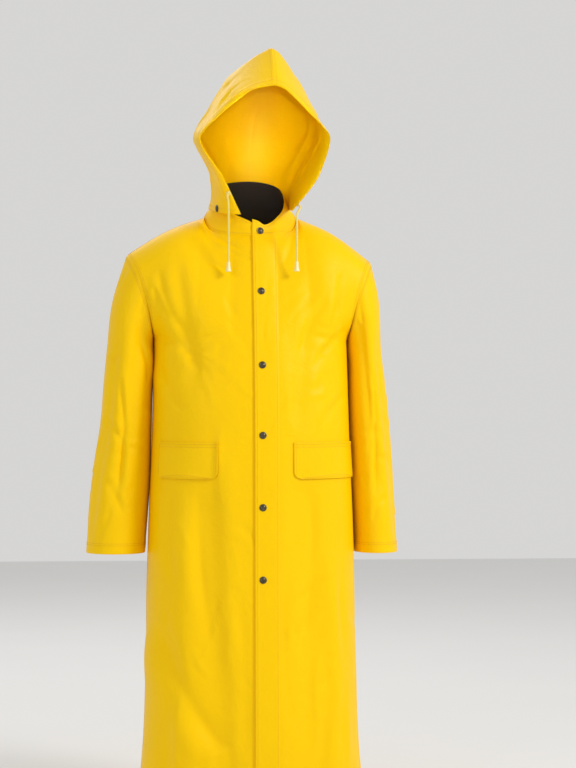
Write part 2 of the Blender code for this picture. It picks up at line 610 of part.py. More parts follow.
# ---- the coat's pieces ---------------------------------------------------------------
def body_walls():
    """Back, fronts, fly, sleeves, collar and its lining."""
    lapped = [LAYER] * len(LAP_COLUMNS) + [0.0] * FRONT_STEPS
    back = Wall("back", back_grid(), "yellow_cloth", BACK_SEAMS)
    fronts = {LEFT: Wall("front_left", front_grid(LEFT), "yellow_cloth",
                         FRONT_SEAMS, lift=lapped),
              RIGHT: Wall("front_right", front_grid(RIGHT), "yellow_cloth",
                          FRONT_SEAMS, slant=-1)}
    sleeves = [Wall(name, sleeve_grid(side), "yellow_cloth", ("first_row",), wrap=True)
               for side, name in ((LEFT, "sleeve_left"), (RIGHT, "sleeve_right"))]
    neck = collar_grid()
    under = neck.shape[1] - len(LAP_COLUMNS)
    collar = Wall("collar", neck, "yellow_cloth", ("first_row",),
                  lift=[0.0] * under + [LAYER] * len(LAP_COLUMNS))
    share_normals([back, fronts[LEFT], fronts[RIGHT], *sleeves, collar])
    lap = len(LAP_COLUMNS)
    left = fronts[LEFT]
    fly = Wall("fly_placket", left.points[:, :lap], "yellow_cloth", lift=2 * LAYER,
               normals=left.normals[:, :lap])
    lined, lined_normals = neck_lining(neck[:, :under], collar.normals[:, :under])
    lining = Wall("collar_lining", lined, "dark_lining", thickness=LINING, lift=-LAYER,
                  normals=lined_normals)
    return back, fronts, sleeves, collar, fly, lining


def neck_lining(neck, normals):
    """Points and normals of the lining: inside the collar, and down inside the neck at the back."""
    share = np.clip((neck[0, :, 1] - NECK_FRONT_Y) / (NECK_BACK_Y - NECK_FRONT_Y), 0.08, 1)
    level = unit(normals[0] * (1, 1, 0))
    rows = [neck[0] - np.outer(FACING_DROP * share * step, (0, 0, 1)) for step in (1.0, 0.5)]
    return np.array([*rows, *neck]), np.array([level, level, *normals])


def pocket_flap(side, front):
    """A flap that lies on a front, with its lower corners cut round."""
    first, last = FLAP_COLUMNS[side]
    rows = slice(LEVELS.index(FLAP_BOTTOM), LEVELS.index(FLAP_TOP) + 1)
    points, normals = front.points[rows, first:last + 1].copy(), front.normals[rows, first:last + 1]
    for corner, beside in ((0, 1), (-1, -2)):
        points[0, corner] += (points[1, corner] - points[0, corner]) * FLAP_CORNER
        points[0, corner] += (points[0, beside] - points[0, corner]) * FLAP_CORNER
    name = "pocket_flap_left" if side == LEFT else "pocket_flap_right"
    return Wall(name, points, "yellow_cloth", thickness=FLAP_WALL, lift=FLAP_WALL + 2 * GAP,
                normals=normals, slant=front.slant)


def stud(name, wall, row, column):
    """A press stud's domed cap on a wall."""
    seat, axis = wall.at(row, column, raised=1.4 * GAP)
    profile = ((STUD_RADIUS * 0.9, 0.0), (STUD_RADIUS, STUD_RIM * 0.5), (STUD_RADIUS * 0.93, STUD_RIM),
               (STUD_RADIUS * 0.5, STUD_DOME * 0.85), (STUD_RADIUS * 0.2, STUD_DOME))
    return turned(name, profile, STUD_SIDES, seat, axis, "dark_metal")


def drawcord(side, hood):
    """The eyelet in the hood's tunnel, the free end of the cord and its tip."""
    word = "left" if side == LEFT else "right"
    seat, axis = hood.at(EYELET_ROWS[side], EYELET_COLUMN, raised=2 * GAP)
    ring = ((EYELET_INNER, 0.0), (EYELET_OUTER, 0.0), (EYELET_OUTER * 0.9, EYELET_WALL),
            (EYELET_INNER, EYELET_WALL))
    turned(f"eyelet_{word}", ring, EYELET_SIDES, seat, axis, "pale_plastic", ring=True)
    start = seat + axis * GAP
    fall = np.array([*CORD_FALLS[side], start[2] - CORD_DROP])
    end = np.array([*CORD_FALLS[side], CORD_ENDS[side]])
    t = np.linspace(0, 1, 13)[:, None]
    bend = ((1 - t) ** 3 * start + 3 * (1 - t) ** 2 * t * (start + axis * CORD_PULL)
            + 3 * (1 - t) * t * t * (fall + (0, 0, CORD_PULL)) + t ** 3 * fall)
    route = np.concatenate((bend, np.linspace(fall, end + (0, 0, GAP), 9)[1:]))
    cord(f"drawcord_{word}", route, "pale_cord")
    turned(f"cord_end_{word}", TIP_PROFILE, TIP_SIDES, end, (0, 0, 1), "pale_plastic")


def main():
    """Build every piece of the coat."""
    for thing in list(bpy.data.objects):
        bpy.data.objects.remove(thing, do_unlink=True)
    back, fronts, sleeves, collar, fly, lining = body_walls()
    shells = {side: hood_grid(side) for side in (LEFT, RIGHT)}
    hoods = {side: Wall(f"hood_{word}", shells[side], "yellow_cloth", ("last_row", "last_column"),
                        normals=crown_normals(shells[side]),
                        thickness=[TUNNEL_WALL] * (TUNNEL_COLUMNS + 1)
                        + [WALL] * (HOOD_EDGE_STEPS + BACK_NECK_STEPS - TUNNEL_COLUMNS))
             for side, word in ((LEFT, "left"), (RIGHT, "right"))}
    share_normals(list(hoods.values()))
    flaps = [pocket_flap(side, fronts[side]) for side in (LEFT, RIGHT)]
    for wall in (back, *fronts.values(), *sleeves, collar, fly, lining, *hoods.values(), *flaps):
        wall.build()
    centre = LAP_COLUMNS.index(STUD_LINE)
    for number, height in enumerate(STUD_LEVELS, 1):
        carrier, column = (collar, collar.points.shape[1] - 1 - centre) if number == 1 else (fly, centre)
        stud(f"front_snap_{number}", carrier, carrier.row_at(column, height), column)
    for side, word in ((LEFT, "left"), (RIGHT, "right")):
        for place, (column, row) in HOOD_STUDS.items():
            stud(f"hood_snap_{word}_{place}", hoods[side], row, column)
        drawcord(side, hoods[side])


main()
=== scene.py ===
"""Hooded raincoat in coated yellow cloth, filled out as on a wearer and open inside.

Each cut piece is a thin shell on the same form as its solid, with its creases laid, its hems turned and
its seams stitched. Metres, +Z up; the front faces -Y and +X is the wearer's left. The origin is in the
neck, where the shoulders carry the coat.
"""
from dataclasses import dataclass, field
from enum import Enum
import logging
import math

import bpy
import numpy as np
from mathutils import Matrix, Vector


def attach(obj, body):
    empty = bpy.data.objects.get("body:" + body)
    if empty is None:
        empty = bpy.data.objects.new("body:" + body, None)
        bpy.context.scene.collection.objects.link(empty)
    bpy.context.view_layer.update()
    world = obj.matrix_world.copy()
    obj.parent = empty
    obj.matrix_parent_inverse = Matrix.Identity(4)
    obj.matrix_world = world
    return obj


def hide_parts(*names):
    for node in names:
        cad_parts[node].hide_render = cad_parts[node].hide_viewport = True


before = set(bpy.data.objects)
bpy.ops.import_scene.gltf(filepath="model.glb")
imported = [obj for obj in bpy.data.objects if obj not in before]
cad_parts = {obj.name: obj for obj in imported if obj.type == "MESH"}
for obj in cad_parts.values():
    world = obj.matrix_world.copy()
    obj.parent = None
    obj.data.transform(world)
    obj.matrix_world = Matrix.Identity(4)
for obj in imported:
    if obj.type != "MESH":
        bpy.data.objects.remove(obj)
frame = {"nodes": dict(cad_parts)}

LOG = logging.getLogger("raincoat")
MM = 0.001
LEFT, RIGHT = 1, -1             # the wearer's sides, as signs of X
SIDE_NAMES = {LEFT: "left", RIGHT: "right"}

# ---- cloth -------------------------------------------------------------------
CLOTH = 1.2 * MM                # coated cloth
SOLID_WALL = 1.6 * MM           # the wall that the solids allow for it
GAP = 0.3 * MM
LAYER = SOLID_WALL + GAP        # from one layer to the layer that lies on it
HEM_RISE = 0.7 * MM             # what a turned edge adds outside
HEM_INSIDE = 0.9 * MM           # and inside
SEAM_DIP, SEAM_REACH = 0.9 * MM, 3.0 * MM
EDGE_ROUND = 0.5 * MM
FINE = 6                        # grid cells for each cell of the solids, along a panel

# ---- drawing curves through tables --------------------------------------------


def through(stations: np.ndarray, values: np.ndarray, at: np.ndarray, ease: float = 1.0) -> np.ndarray:
    """Values on a smooth curve.

    Args:
        stations: Rising places of the values.
        values: What the curve passes through.
        at: Places to give.
        ease: How much of the slope is kept; less makes a tighter curve.

    Returns:
        One value for each place.
    """
    stations, values, at = (np.asarray(item, float) for item in (stations, values, at))
    steps = np.diff(stations)
    column = (-1,) + (1,) * (values.ndim - 1)
    rise = np.diff(values, axis=0) / steps.reshape(column)
    share = (steps[:-1] / (steps[:-1] + steps[1:])).reshape(column)
    slope = np.concatenate((rise[:1], (1 - share) * rise[:-1] + share * rise[1:], rise[-1:])) * ease
    cell = np.clip(np.searchsorted(stations, at, side="right") - 1, 0, len(steps) - 1)
    width = steps[cell].reshape(column)
    t = ((at - stations[cell]) / steps[cell]).reshape(column)
    low, high = values[cell], values[cell + 1]
    return ((1 + 2 * t) * (1 - t) ** 2 * low + t * (1 - t) ** 2 * width * slope[cell]
            + t * t * (3 - 2 * t) * high + t * t * (t - 1) * width * slope[cell + 1])


def evenly(knots: list, count: int, ease: float = 1.0) -> np.ndarray:
    """`count` + 1 points evenly spread over a smooth curve through knots."""
    return through(range(len(knots)), knots, np.linspace(0, len(knots) - 1, count + 1), ease)


def smooth(value: np.ndarray, low: float, high: float) -> np.ndarray:
    """0 below `low`, 1 above `high`, and soft between."""
    t = np.clip((value - low) / (high - low), 0.0, 1.0)
    return t * t * (3 - 2 * t)


def unit(vectors: np.ndarray) -> np.ndarray:
    """Vectors at length one."""
    return vectors / np.maximum(np.linalg.norm(vectors, axis=-1, keepdims=True), 1e-12)


def mirrored(points: np.ndarray) -> np.ndarray:
    """Points on the other side of the centre plane."""
    return points * np.array([-1.0, 1.0, 1.0])


# ---- creases -------------------------------------------------------------------
@dataclass(frozen=True)
class Fold:
    """A crease from one place to another on a piece; a negative depth is a ridge."""

    across: float
    height: float
    to_across: float
    to_height: float
    width: float
    depth: float
    bow: float = 0.0

    def depth_at(self, across: np.ndarray, height: np.ndarray) -> np.ndarray:
        """How deep the crease is over a grid.

        Args:
            across: Places across the piece, in metres.
            height: Places along it.

        Returns:
            Depths, with a low ridge on one side of the trough.
        """
        run = np.array([self.to_across - self.across, self.to_height - self.height])
        length = np.linalg.norm(run)
        run = run / length
        u, v = across - self.across, height - self.height
        share = (u * run[0] + v * run[1]) / length
        away = u * run[1] - v * run[0] - self.bow * 4 * share * (1 - share)
        taper = np.sqrt(np.clip(4 * share * (1 - share), 0.0, 1.0))
        taper = taper * (0.75 + 0.25 * np.cos(9 * share + self.across * 40))
        trough = 0.65 * np.exp(-(away / self.width) ** 2) + 0.35 * np.exp(-(away / (0.5 * self.width)) ** 2)
        ridge = np.exp(-((away - 1.7 * self.width) / (1.1 * self.width)) ** 2)
        return CREASE_DEPTH * self.depth * taper * (trough - 0.5 * ridge)


def laid(*rows: tuple[float, ...]) -> tuple[Fold, ...]:
    """Creases from rows: where each starts and ends, its width and depth in millimetres, and its bow."""
    return tuple(Fold(*ends, width * MM, depth * MM, *bow) for *ends, width, depth, bow in
                 ((*row[:6], row[6:]) for row in rows))


@dataclass(frozen=True)
class Spread:
    """Small creases strewn unevenly over part of a piece, most along one direction."""

    seed: int
    count: int
    low: tuple[float, float]
    high: tuple[float, float]
    angle: float                # degrees from level
    turn: float                 # how far from that they stray, in degrees
    length: float = 0.07
    depth: float = 1.1 * MM

    def folds(self) -> list[Fold]:
        """The creases, the same at each run."""
        draw = np.random.default_rng(self.seed)
        made = []
        for _ in range(self.count):
            u, v = draw.uniform(self.low, self.high)
            angle = math.radians(self.angle + draw.normal(0, self.turn))
            reach = self.length * draw.uniform(0.5, 1.4)
            width = draw.uniform(5, 11) * MM
            depth = self.depth * draw.uniform(0.5, 1.3) * draw.choice((1, 1, -1))
            made.append(Fold(u, v, u + reach * math.cos(angle), v + reach * math.sin(angle), width, depth,
                             draw.uniform(-0.12, 0.12) * reach))
        return made


@dataclass(frozen=True)
class Crease:
    """One of the main creases, which the solids have too."""

    across: float
    height: float
    to_across: float
    to_height: float
    reach: float
    depth: float

    def depth_at(self, across: np.ndarray, height: np.ndarray, upright: float = 0.0) -> np.ndarray:
        """Depths over a grid; `upright` is the reach along the piece, or 0 for 2.2 of its own."""
        scale = np.array([1.0 / self.reach, 1.0 / (upright or 2.2 * self.reach)])
        start = np.array([self.across, self.height]) * scale
        run = np.array([self.to_across, self.to_height]) * scale - start
        place = np.stack((across, height), axis=-1) * scale - start
        share = np.clip((place @ run) / (run @ run), 0.0, 1.0)
        return self.depth * np.exp(-np.linalg.norm(place - share[..., None] * run, axis=-1) ** 2)


# ---- shaders --------------------------------------------------------------------
class Wire:
    """An output socket that can be used in sums."""

    def __init__(self, graph: "Graph", socket: bpy.types.NodeSocket) -> None:
        """Wrap a socket of a graph."""
        self.graph, self.socket = graph, socket

    def _maths(self, operation: str, first: object, second: object = 0.0) -> "Wire":
        """A Math node on two values."""
        return self.graph.node("ShaderNodeMath", {"operation": operation}, {0: first, 1: second})

    def __add__(self, other: object) -> "Wire":
        """self + other."""
        return self._maths("ADD", self, other)

    def __sub__(self, other: object) -> "Wire":
        """self - other."""
        return self._maths("SUBTRACT", self, other)

    def __rsub__(self, other: object) -> "Wire":
        """other - self."""
        return self._maths("SUBTRACT", other, self)

    def __mul__(self, other: object) -> "Wire":
        """self * other."""
        return self._maths("MULTIPLY", self, other)

    def __pow__(self, other: object) -> "Wire":
        """self ** other."""
        return self._maths("POWER", self, other)

    def size(self) -> "Wire":
        """The value without its sign."""
        return self._maths("ABSOLUTE", self)


class Graph:
    """The node tree of one material."""

    def __init__(self, name: str) -> None:
        """Make an empty material."""
        self.material = bpy.data.materials.new(name)
        self.material.use_nodes = True
        self.tree = self.material.node_tree
        self.shader = self.tree.nodes["Principled BSDF"]

    def node(self, kind: str, settings: dict, sockets: dict, output: object = 0) -> Wire:
        """Add a node.

        Args:
            kind: Its type.
            settings: Its properties, set first.
            sockets: Values or wires by input name or number.
            output: The output to give.

        Returns:
            The output, wrapped.
        """
        made = self.tree.nodes.new(kind)
        for name, value in settings.items():
            setattr(made, name, value)
        self.plug(made, sockets)
        return Wire(self, made.outputs[output])

    def plug(self, node: bpy.types.Node, sockets: dict) -> None:
        """Set or link the inputs of a node."""
        for name, value in sockets.items():
            if isinstance(value, Wire):
                self.tree.links.new(value.socket, node.inputs[name])
            else:
                node.inputs[name].default_value = value

    def place(self, scale: tuple[float, float, float] = (1.0, 1.0, 1.0)) -> Wire:
        """The point on the object, stretched by a scale."""
        where = self.node("ShaderNodeTexCoord", {}, {}, "Object")
        return self.node("ShaderNodeVectorMath", {"operation": "MULTIPLY"}, {0: where, 1: scale})

    def noise(self, scale: float, detail: float = 2.0, distortion: float = 0.0,
              stretch: tuple[float, float, float] = (1.0, 1.0, 1.0)) -> Wire:
        """Cloudy noise over the object."""
        return self.node("ShaderNodeTexNoise", {},
                         {"Vector": self.place(stretch), "Scale": scale, "Detail": detail,
                          "Distortion": distortion}, "Fac")

    def blended(self, share: object, first: object, second: object) -> Wire:
        """A colour between two colours."""
        made = self.tree.nodes.new("ShaderNodeMix")
        made.data_type = "RGBA"
        self.plug(made, {0: share, 6: first, 7: second})
        return Wire(self, made.outputs[2])

    def bumped(self, height: Wire, distance: float, strength: float = 1.0, **under: Wire) -> Wire:
        """A normal from a height in shares of a distance, over another relief's `Normal` if one is given."""
        return self.node("ShaderNodeBump", {},
                         {"Height": height, "Distance": distance, "Strength": strength, **under}, "Normal")


@dataclass(frozen=True)
class CoatedCloth:
    """Cloth with a smooth plastic coat: soft gloss, fine grain and faint handling creases."""

    name: str
    colour: tuple[float, float, float]
    shade: tuple[float, float, float]
    roughness: float = 0.44
    coat: float = 0.02
    shine: float = 0.09
    grain: float = 0.05 * MM
    crease: float = 0.9 * MM

    def make(self) -> bpy.types.Material:
        """The material."""
        graph = Graph(self.name)
        cloud = graph.noise(7.0, 3.0, 0.6)
        mottle = graph.noise(55.0, 2.0)
        handling = 1.0 - (graph.noise(16.0, 2.0, 1.6) * 2.0 - 1.0).size()
        crinkle = 1.0 - (graph.noise(38.0, 1.0, 0.9) * 2.0 - 1.0).size()
        grain = graph.noise(1400.0, 1.0)
        weave = graph.noise(520.0, 0.0, 0.0, (1.0, 1.0, 0.4))
        height = handling ** 9.0 * 0.55 + crinkle ** 10.0 * 0.18
        relief = graph.bumped(height, self.crease, 0.45)
        fine = graph.bumped(grain * 0.6 + weave * 0.5, self.grain, 0.7, Normal=relief)
        colour = graph.blended(cloud * 0.55 + mottle * 0.25, (*self.colour, 1.0), (*self.shade, 1.0))
        rough = mottle * 0.10 + cloud * 0.08 + (self.roughness - 0.09)
        graph.plug(graph.shader, {"Base Color": colour, "Roughness": rough, "Normal": fine,
                                  "Coat Weight": self.coat, "Coat Roughness": 0.30,
                                  "Specular IOR Level": self.shine})
        return graph.material


@dataclass(frozen=True)
class PaintedShadeLining:
    """A matt near-black cloth with a fine knit; the near-black is painted shade for the deep shade inside the
    neck.
    """

    name: str = "painted_shade_lining_cloth"
    # Near-black painted shade, a little lighter on the raised knit: it stands for the deep shade inside the
    # coat's neck.
    colour: tuple[float, float, float] = (0.0085, 0.0070, 0.0062)

    def make(self) -> bpy.types.Material:
        """The material."""
        graph = Graph(self.name)
        knit = graph.noise(900.0, 1.0, 0.0, (1.0, 1.0, 0.5))
        lighter = tuple(2.0 * part for part in self.colour)
        colour = graph.blended(knit, (*self.colour, 1.0), (*lighter, 1.0))
        graph.plug(graph.shader, {"Base Color": colour, "Roughness": knit * 0.1 + 0.85,
                                  "Normal": graph.bumped(knit, 0.25 * MM)})
        return graph.material


@dataclass(frozen=True)
class DarkMetal:
    """Blackened brass with brighter, warmer places at random: partly wear and partly painted reflection of
    the yellow cloth.
    """

    name: str = "blackened_metal"
    dark: tuple[float, float, float] = (0.055, 0.046, 0.030)
    worn_and_reflection_tint: tuple[float, float, float] = (0.42, 0.37, 0.26)

    def make(self) -> bpy.types.Material:
        """The material."""
        graph = Graph(self.name)
        rubbed = graph.noise(420.0, 3.0)
        fine = graph.noise(2600.0, 1.0)
        # The brighter warm patches are partly wear and partly a painted reflection of the yellow cloth.
        colour = graph.blended(rubbed ** 3.0, (*self.dark, 1.0), (*self.worn_and_reflection_tint, 1.0))
        graph.plug(graph.shader, {"Base Color": colour, "Metallic": 1.0, "Roughness": rubbed * 0.2 + 0.25,
                                  "Normal": graph.bumped(fine, 0.03 * MM)})
        return graph.material


@dataclass(frozen=True)
class Braid:
    """A round braided cord, with its strands crossing, drawn darker in the grooves between them as painted
    shade.
    """

    name: str = "braided_cord"
    light: tuple[float, float, float] = (0.95, 0.82, 0.26)
    dark: tuple[float, float, float] = (0.78, 0.62, 0.14)
    strands: float = 900.0

    def make(self) -> bpy.types.Material:
        """The material."""
        graph = Graph(self.name)
        waves = [graph.node("ShaderNodeTexWave", {"wave_type": "BANDS", "bands_direction": "DIAGONAL"},
                            {"Vector": graph.place((sign, sign, 1.0)), "Scale": self.strands / math.tau,
                             "Distortion": 0.4, "Detail": 1.0}, "Fac") for sign in (1.0, -1.0)]
        plait = waves[0] * waves[1]
        fluff = graph.noise(3000.0, 1.0)
        # Darker where the plait is low: painted shade in the grooves between the strands.
        colour = graph.blended(plait * 0.8 + fluff * 0.2, (*self.dark, 1.0), (*self.light, 1.0))
        graph.plug(graph.shader, {"Base Color": colour, "Roughness": fluff * 0.1 + 0.75,
                                  "Normal": graph.bumped(plait + fluff * 0.3, 0.35 * MM)})
        return graph.material


@dataclass(frozen=True)
class PalePlastic:
    """Moulded pale plastic."""

    name: str = "pale_plastic"
    colour: tuple[float, float, float] = (0.92, 0.86, 0.46)
    shade: tuple[float, float, float] = (0.82, 0.74, 0.34)
    roughness: float = 0.32

    def make(self) -> bpy.types.Material:
        """The material."""
        graph = Graph(self.name)
        cloud = graph.noise(300.0, 2.0)
        graph.plug(graph.shader, {
            "Base Color": graph.blended(cloud, (*self.colour, 1.0), (*self.shade, 1.0)),
            "Roughness": cloud * 0.12 + self.roughness,
            "Normal": graph.bumped(graph.noise(1800.0), 0.02 * MM)})
        return graph.material


class Finish(Enum):
    """The coat's finishes, each with a name of its own."""

    CLOTH = "coated_cloth"
    # the near-black lining inside the neck, whose colour is painted shade
    LINING = "dark_lining"
    METAL = "snap_metal"
    CORD = "drawcord"
    PLASTIC = "cord_end_plastic"
    THREAD = "thread"


MAKERS = {
    Finish.CLOTH: CoatedCloth("yellow_coated_cloth", (1.0, 0.630, 0.0), (0.94, 0.565, 0.0)),
    Finish.LINING: PaintedShadeLining(),
    Finish.METAL: DarkMetal(),
    Finish.CORD: Braid(),
    Finish.PLASTIC: PalePlastic(),
    Finish.THREAD: PalePlastic("yellow_thread", (0.80, 0.42, 0.0), (0.60, 0.30, 0.0), 0.55),
}
MATERIALS: dict[Finish, bpy.types.Material] = {}


def dressed(name: str, mesh: bpy.types.ID, finish: Finish, *nodes: str) -> bpy.types.Object:
    """Make a piece from a mesh or curve, give it its finish and tie it to the frame.

    Args:
        name: The piece's name.
        mesh: Its mesh or curve.
        finish: Its finish.
        nodes: The solids that it stands for.

    Returns:
        The piece.
    """
    if finish not in MATERIALS:
        MATERIALS[finish] = MAKERS[finish].make()
    thing = bpy.data.objects.new(name, mesh)
    bpy.context.scene.collection.objects.link(thing)
    mesh.materials.append(MATERIALS[finish])
    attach(thing, "root")
    if nodes:
        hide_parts(*nodes)
    LOG.info("%s: %s", name, finish.name.lower())
    return thing


def mesh_of(name: str, vertices: np.ndarray, faces: list, sharp: float = 50.0) -> bpy.types.Mesh:
    """A smooth mesh, with its edges sharp past an angle in degrees."""
    mesh = bpy.data.meshes.new(name)
    mesh.from_pydata(np.asarray(vertices).tolist(), [], faces)
    mesh.validate()
    mesh.shade_smooth()
    mesh.set_sharp_from_angle(angle=math.radians(sharp))
    return mesh


# ---- a piece of cloth ---------------------------------------------------------------
FIRST_ROW, LAST_ROW, FIRST_COLUMN, LAST_COLUMN = "first_row", "last_row", "first_column", "last_column"
EDGE_LINES = (0.06, 0.2, 0.45)          # extra grid lines beside an edge, in cells
CREASE_FADE = 0.020                     # creases die out this near a seam
CREASE_DEPTH = 1.65                     # how strongly the small creases show
HEM_STITCHES = (3 * MM, 7 * MM)         # how far in from a turned hem's raw edge its stitches run
SEAM_STITCHES = (5 * MM, 9 * MM)        # how far from a seam its one or two rows of stitches run


def lines(count: int) -> np.ndarray:
    """Places of grid lines, with extra lines close to both edges."""
    beside = {place for near in EDGE_LINES for place in (near, count - 1 - near)}
    return np.array(sorted(beside.union(range(count))), float)


def resampled(points: np.ndarray, rows: np.ndarray, columns: np.ndarray, wrap: bool = False) -> np.ndarray:
    """The grid at other rows and columns."""
    points = through(range(len(points)), points, rows)
    if wrap:
        return points
    across = through(range(points.shape[1]), points.transpose(1, 0, 2), columns)
    return across.transpose(1, 0, 2)


@dataclass
class ClothPiece:
    """One cut piece of cloth, as a thin closed shell."""

    name: str
    points: np.ndarray
    nodes: tuple[str, ...] = ()
    finish: Finish = Finish.CLOTH
    wrap: bool = False
    sewn: tuple[str, ...] = ()
    turned: dict[str, float] = field(default_factory=dict)   # turned edges, by their width
    thickness: float = CLOTH
    lift: float | np.ndarray = 0.0
    folds: tuple = ()
    creases: tuple = ()
    across: np.ndarray | None = None
    base_normals: np.ndarray | None = None
    seam_dip: float = SEAM_DIP
    inside: float = 0.0                     # how much its turned edges thicken it inside
    outer: np.ndarray | None = None
    facing: np.ndarray | None = None
    wall: np.ndarray | None = None

    def lengths(self, axis: int) -> np.ndarray:
        """Distances along the grid from its first row or column."""
        step = np.linalg.norm(np.diff(self.points, axis=axis), axis=2)
        start = np.zeros_like(step[:1] if axis == 0 else step[:, :1])
        return np.concatenate((start, np.cumsum(step, axis=axis)), axis=axis)

    def distance(self, edge: str) -> np.ndarray:
        """Distances of the grid's points from one edge."""
        along = self.lengths(0 if edge.endswith("row") else 1)
        if edge == LAST_ROW:
            return along[-1:] - along
        if edge == LAST_COLUMN:
            return along[:, -1:] - along
        return along

    def normals(self) -> np.ndarray:
        """Unit normals that point away from the hollow."""
        if self.wrap:
            across = np.roll(self.points, -1, axis=1) - np.roll(self.points, 1, axis=1)
            middle = self.points.mean(axis=(0, 1))
        else:
            across = np.gradient(self.points, axis=1)
            middle = np.array([0.0, 0.0, self.points[..., 2].mean()])
        normals = unit(np.cross(across, np.gradient(self.points, axis=0)))
        facing = np.einsum("ijk,ijk->", normals, self.points - middle)
        return normals if facing > 0 else -normals

    def shape(self) -> None:
        """Lay the creases, seams and turned edges, and set the outer face."""
        normals = self.normals() if self.base_normals is None else self.base_normals
        across = self.points[..., 0] if self.across is None else self.across
        height = self.points[..., 2]
        depth = np.zeros(self.points.shape[:2])
        for fold in self.folds:
            for single in (fold.folds() if isinstance(fold, Spread) else (fold,)):
                depth += single.depth_at(across, height)
        for crease in self.creases:
            if self.wrap:
                degrees = np.broadcast_to(np.arange(depth.shape[1]) * 360.0 / depth.shape[1], depth.shape)
                depth += crease.depth_at(degrees, height, 0.05)
            else:
                depth += crease.depth_at(across, height)
        rise = np.broadcast_to(self.lift, depth.shape).copy()
        self.wall = np.full(depth.shape, self.thickness)
        for edge in self.sewn:
            away = self.distance(edge)
            depth *= smooth(away, 0.0, CREASE_FADE)
            rise -= self.seam_dip * np.exp(-(away / SEAM_REACH) ** 2)
        for edge, width in self.turned.items():
            away = self.distance(edge)
            depth *= 0.45 + 0.55 * smooth(away, 0.0, 1.6 * width)
            folded = 1 - smooth(away, width - 0.8 * MM, width + 0.8 * MM)
            rise += HEM_RISE * folded
            self.wall += self.inside * folded
            rise -= EDGE_ROUND * np.exp(-(away / (0.5 * MM)) ** 2)
        self.points = self.points + (rise - depth)[..., None] * normals
        self.outer = self.points
        self.facing = self.normals() if self.base_normals is None else normals

    def cut(self) -> tuple[tuple[float, float], float]:
        """The flat cut's width and length, and its area."""
        rows, columns = self.lengths(1)[:, -1], self.lengths(0)[-1]
        if self.wrap:
            rows = rows + np.linalg.norm(self.points[:, 0] - self.points[:, -1], axis=1)
        width, length = float(rows.max()), float(columns.max())
        closed = np.concatenate((self.points, self.points[:, :1]), axis=1) if self.wrap else self.points
        one, two = closed[1:, 1:] - closed[:-1, :-1], closed[1:, :-1] - closed[:-1, 1:]
        area = float(np.linalg.norm(np.cross(one, two), axis=2).sum() / 2)
        return (width, length), min(area, width * length)

    def build(self) -> None:
        flat, area = self.cut()
        self.shape()
        rows, columns = self.outer.shape[:2]
        inner = self.outer - self.wall[..., None] * self.facing
        vertices = np.concatenate((self.outer.reshape(-1, 3), inner.reshape(-1, 3)))
        below = rows * columns
        last = columns if self.wrap else columns - 1
        i, j = np.meshgrid(np.arange(rows - 1), np.arange(last), indexing="ij")
        a, b = (i * columns + j).ravel(), (i * columns + (j + 1) % columns).ravel()
        out = np.stack((a, b, b + columns, a + columns), axis=1)
        faces = [out, below + out[:, ::-1]]
        i, j = np.arange(rows - 1), np.arange(last)
        rims = [(row * columns + j, row * columns + (j + 1) % columns, row > 0) for row in (0, rows - 1)]
        if not self.wrap:
            rims += [((i + 1) * columns + column, i * columns + column, column > 0)
                     for column in (0, columns - 1)]
        for a, b, far in rims:
            rim = np.stack((b, a, below + a, below + b), axis=1)
            faces.append(rim[:, ::-1] if far else rim)
        faces = np.concatenate(faces)
        along = np.cross(self.outer[1, 1] - self.outer[0, 0], self.outer[1, 0] - self.outer[0, 1])
        if along @ self.facing[0, 0] < 0:
            faces = faces[:, ::-1]
        thing = dressed(self.name, mesh_of(self.name, vertices, faces.tolist()), self.finish, *self.nodes)

    def at(self, row: float, column: float) -> tuple[np.ndarray, np.ndarray]:
        """A point of the outer face and its normal, by fractional row and column."""
        places, facing = self.along(np.array([row]), np.array([column]))
        return places[0], facing[0]

    def along(self, rows: np.ndarray, columns: np.ndarray) -> tuple[np.ndarray, np.ndarray]:
        """Points of the outer face and their normals, by fractional rows and columns."""
        i = np.clip(rows.astype(int), 0, self.outer.shape[0] - 2)
        s, count = (rows - i)[:, None], self.outer.shape[1]
        j = columns.astype(int) % count if self.wrap else np.clip(columns.astype(int), 0, count - 2)
        t = (columns - np.floor(columns) if self.wrap else columns - j)[:, None]
        after = (j + 1) % count
        found = [(1 - s) * ((1 - t) * grid[i, j] + t * grid[i, after])
                 + s * ((1 - t) * grid[i + 1, j] + t * grid[i + 1, after])
                 for grid in (self.outer, self.facing)]
        return found[0], unit(found[1])

    def beside(self, edge: str, inset: float, start: float = 0.0, end: float = 1.0) -> tuple:
        """A line on the outer face that keeps its distance from an edge.

        Args:
            edge: The edge it follows.
            inset: Its distance from the edge.
            start: Where along the edge it begins, as a share.
            end: Where it ends.

        Returns:
            The line's points and normals.
        """
        away = self.distance(edge)
        row_edge = edge.endswith("row")
        count = away.shape[1] if row_edge else away.shape[0]
        span = count if self.wrap and row_edge else count - 1
        if self.wrap and row_edge:
            away = np.concatenate((away, away[:, :1]), axis=1)
        places = np.arange(int(start * span), int(end * span) + 1)
        found = []
        for place in places:
            line = away[:, place] if row_edge else away[place]
            index = np.arange(len(line), dtype=float)
            if line[0] > line[-1]:
                line, index = line[::-1], index[::-1]
            found.append(np.interp(inset, line, index))
        rows, columns = (np.array(found), places) if row_edge else (places, np.array(found))
        return self.along(rows.astype(float), columns.astype(float))

    def hemmed(self, edge: str, width: float) -> list[tuple]:
        """The two rows of stitches that hold a turned hem."""
        return [self.beside(edge, width - inset) for inset in HEM_STITCHES]


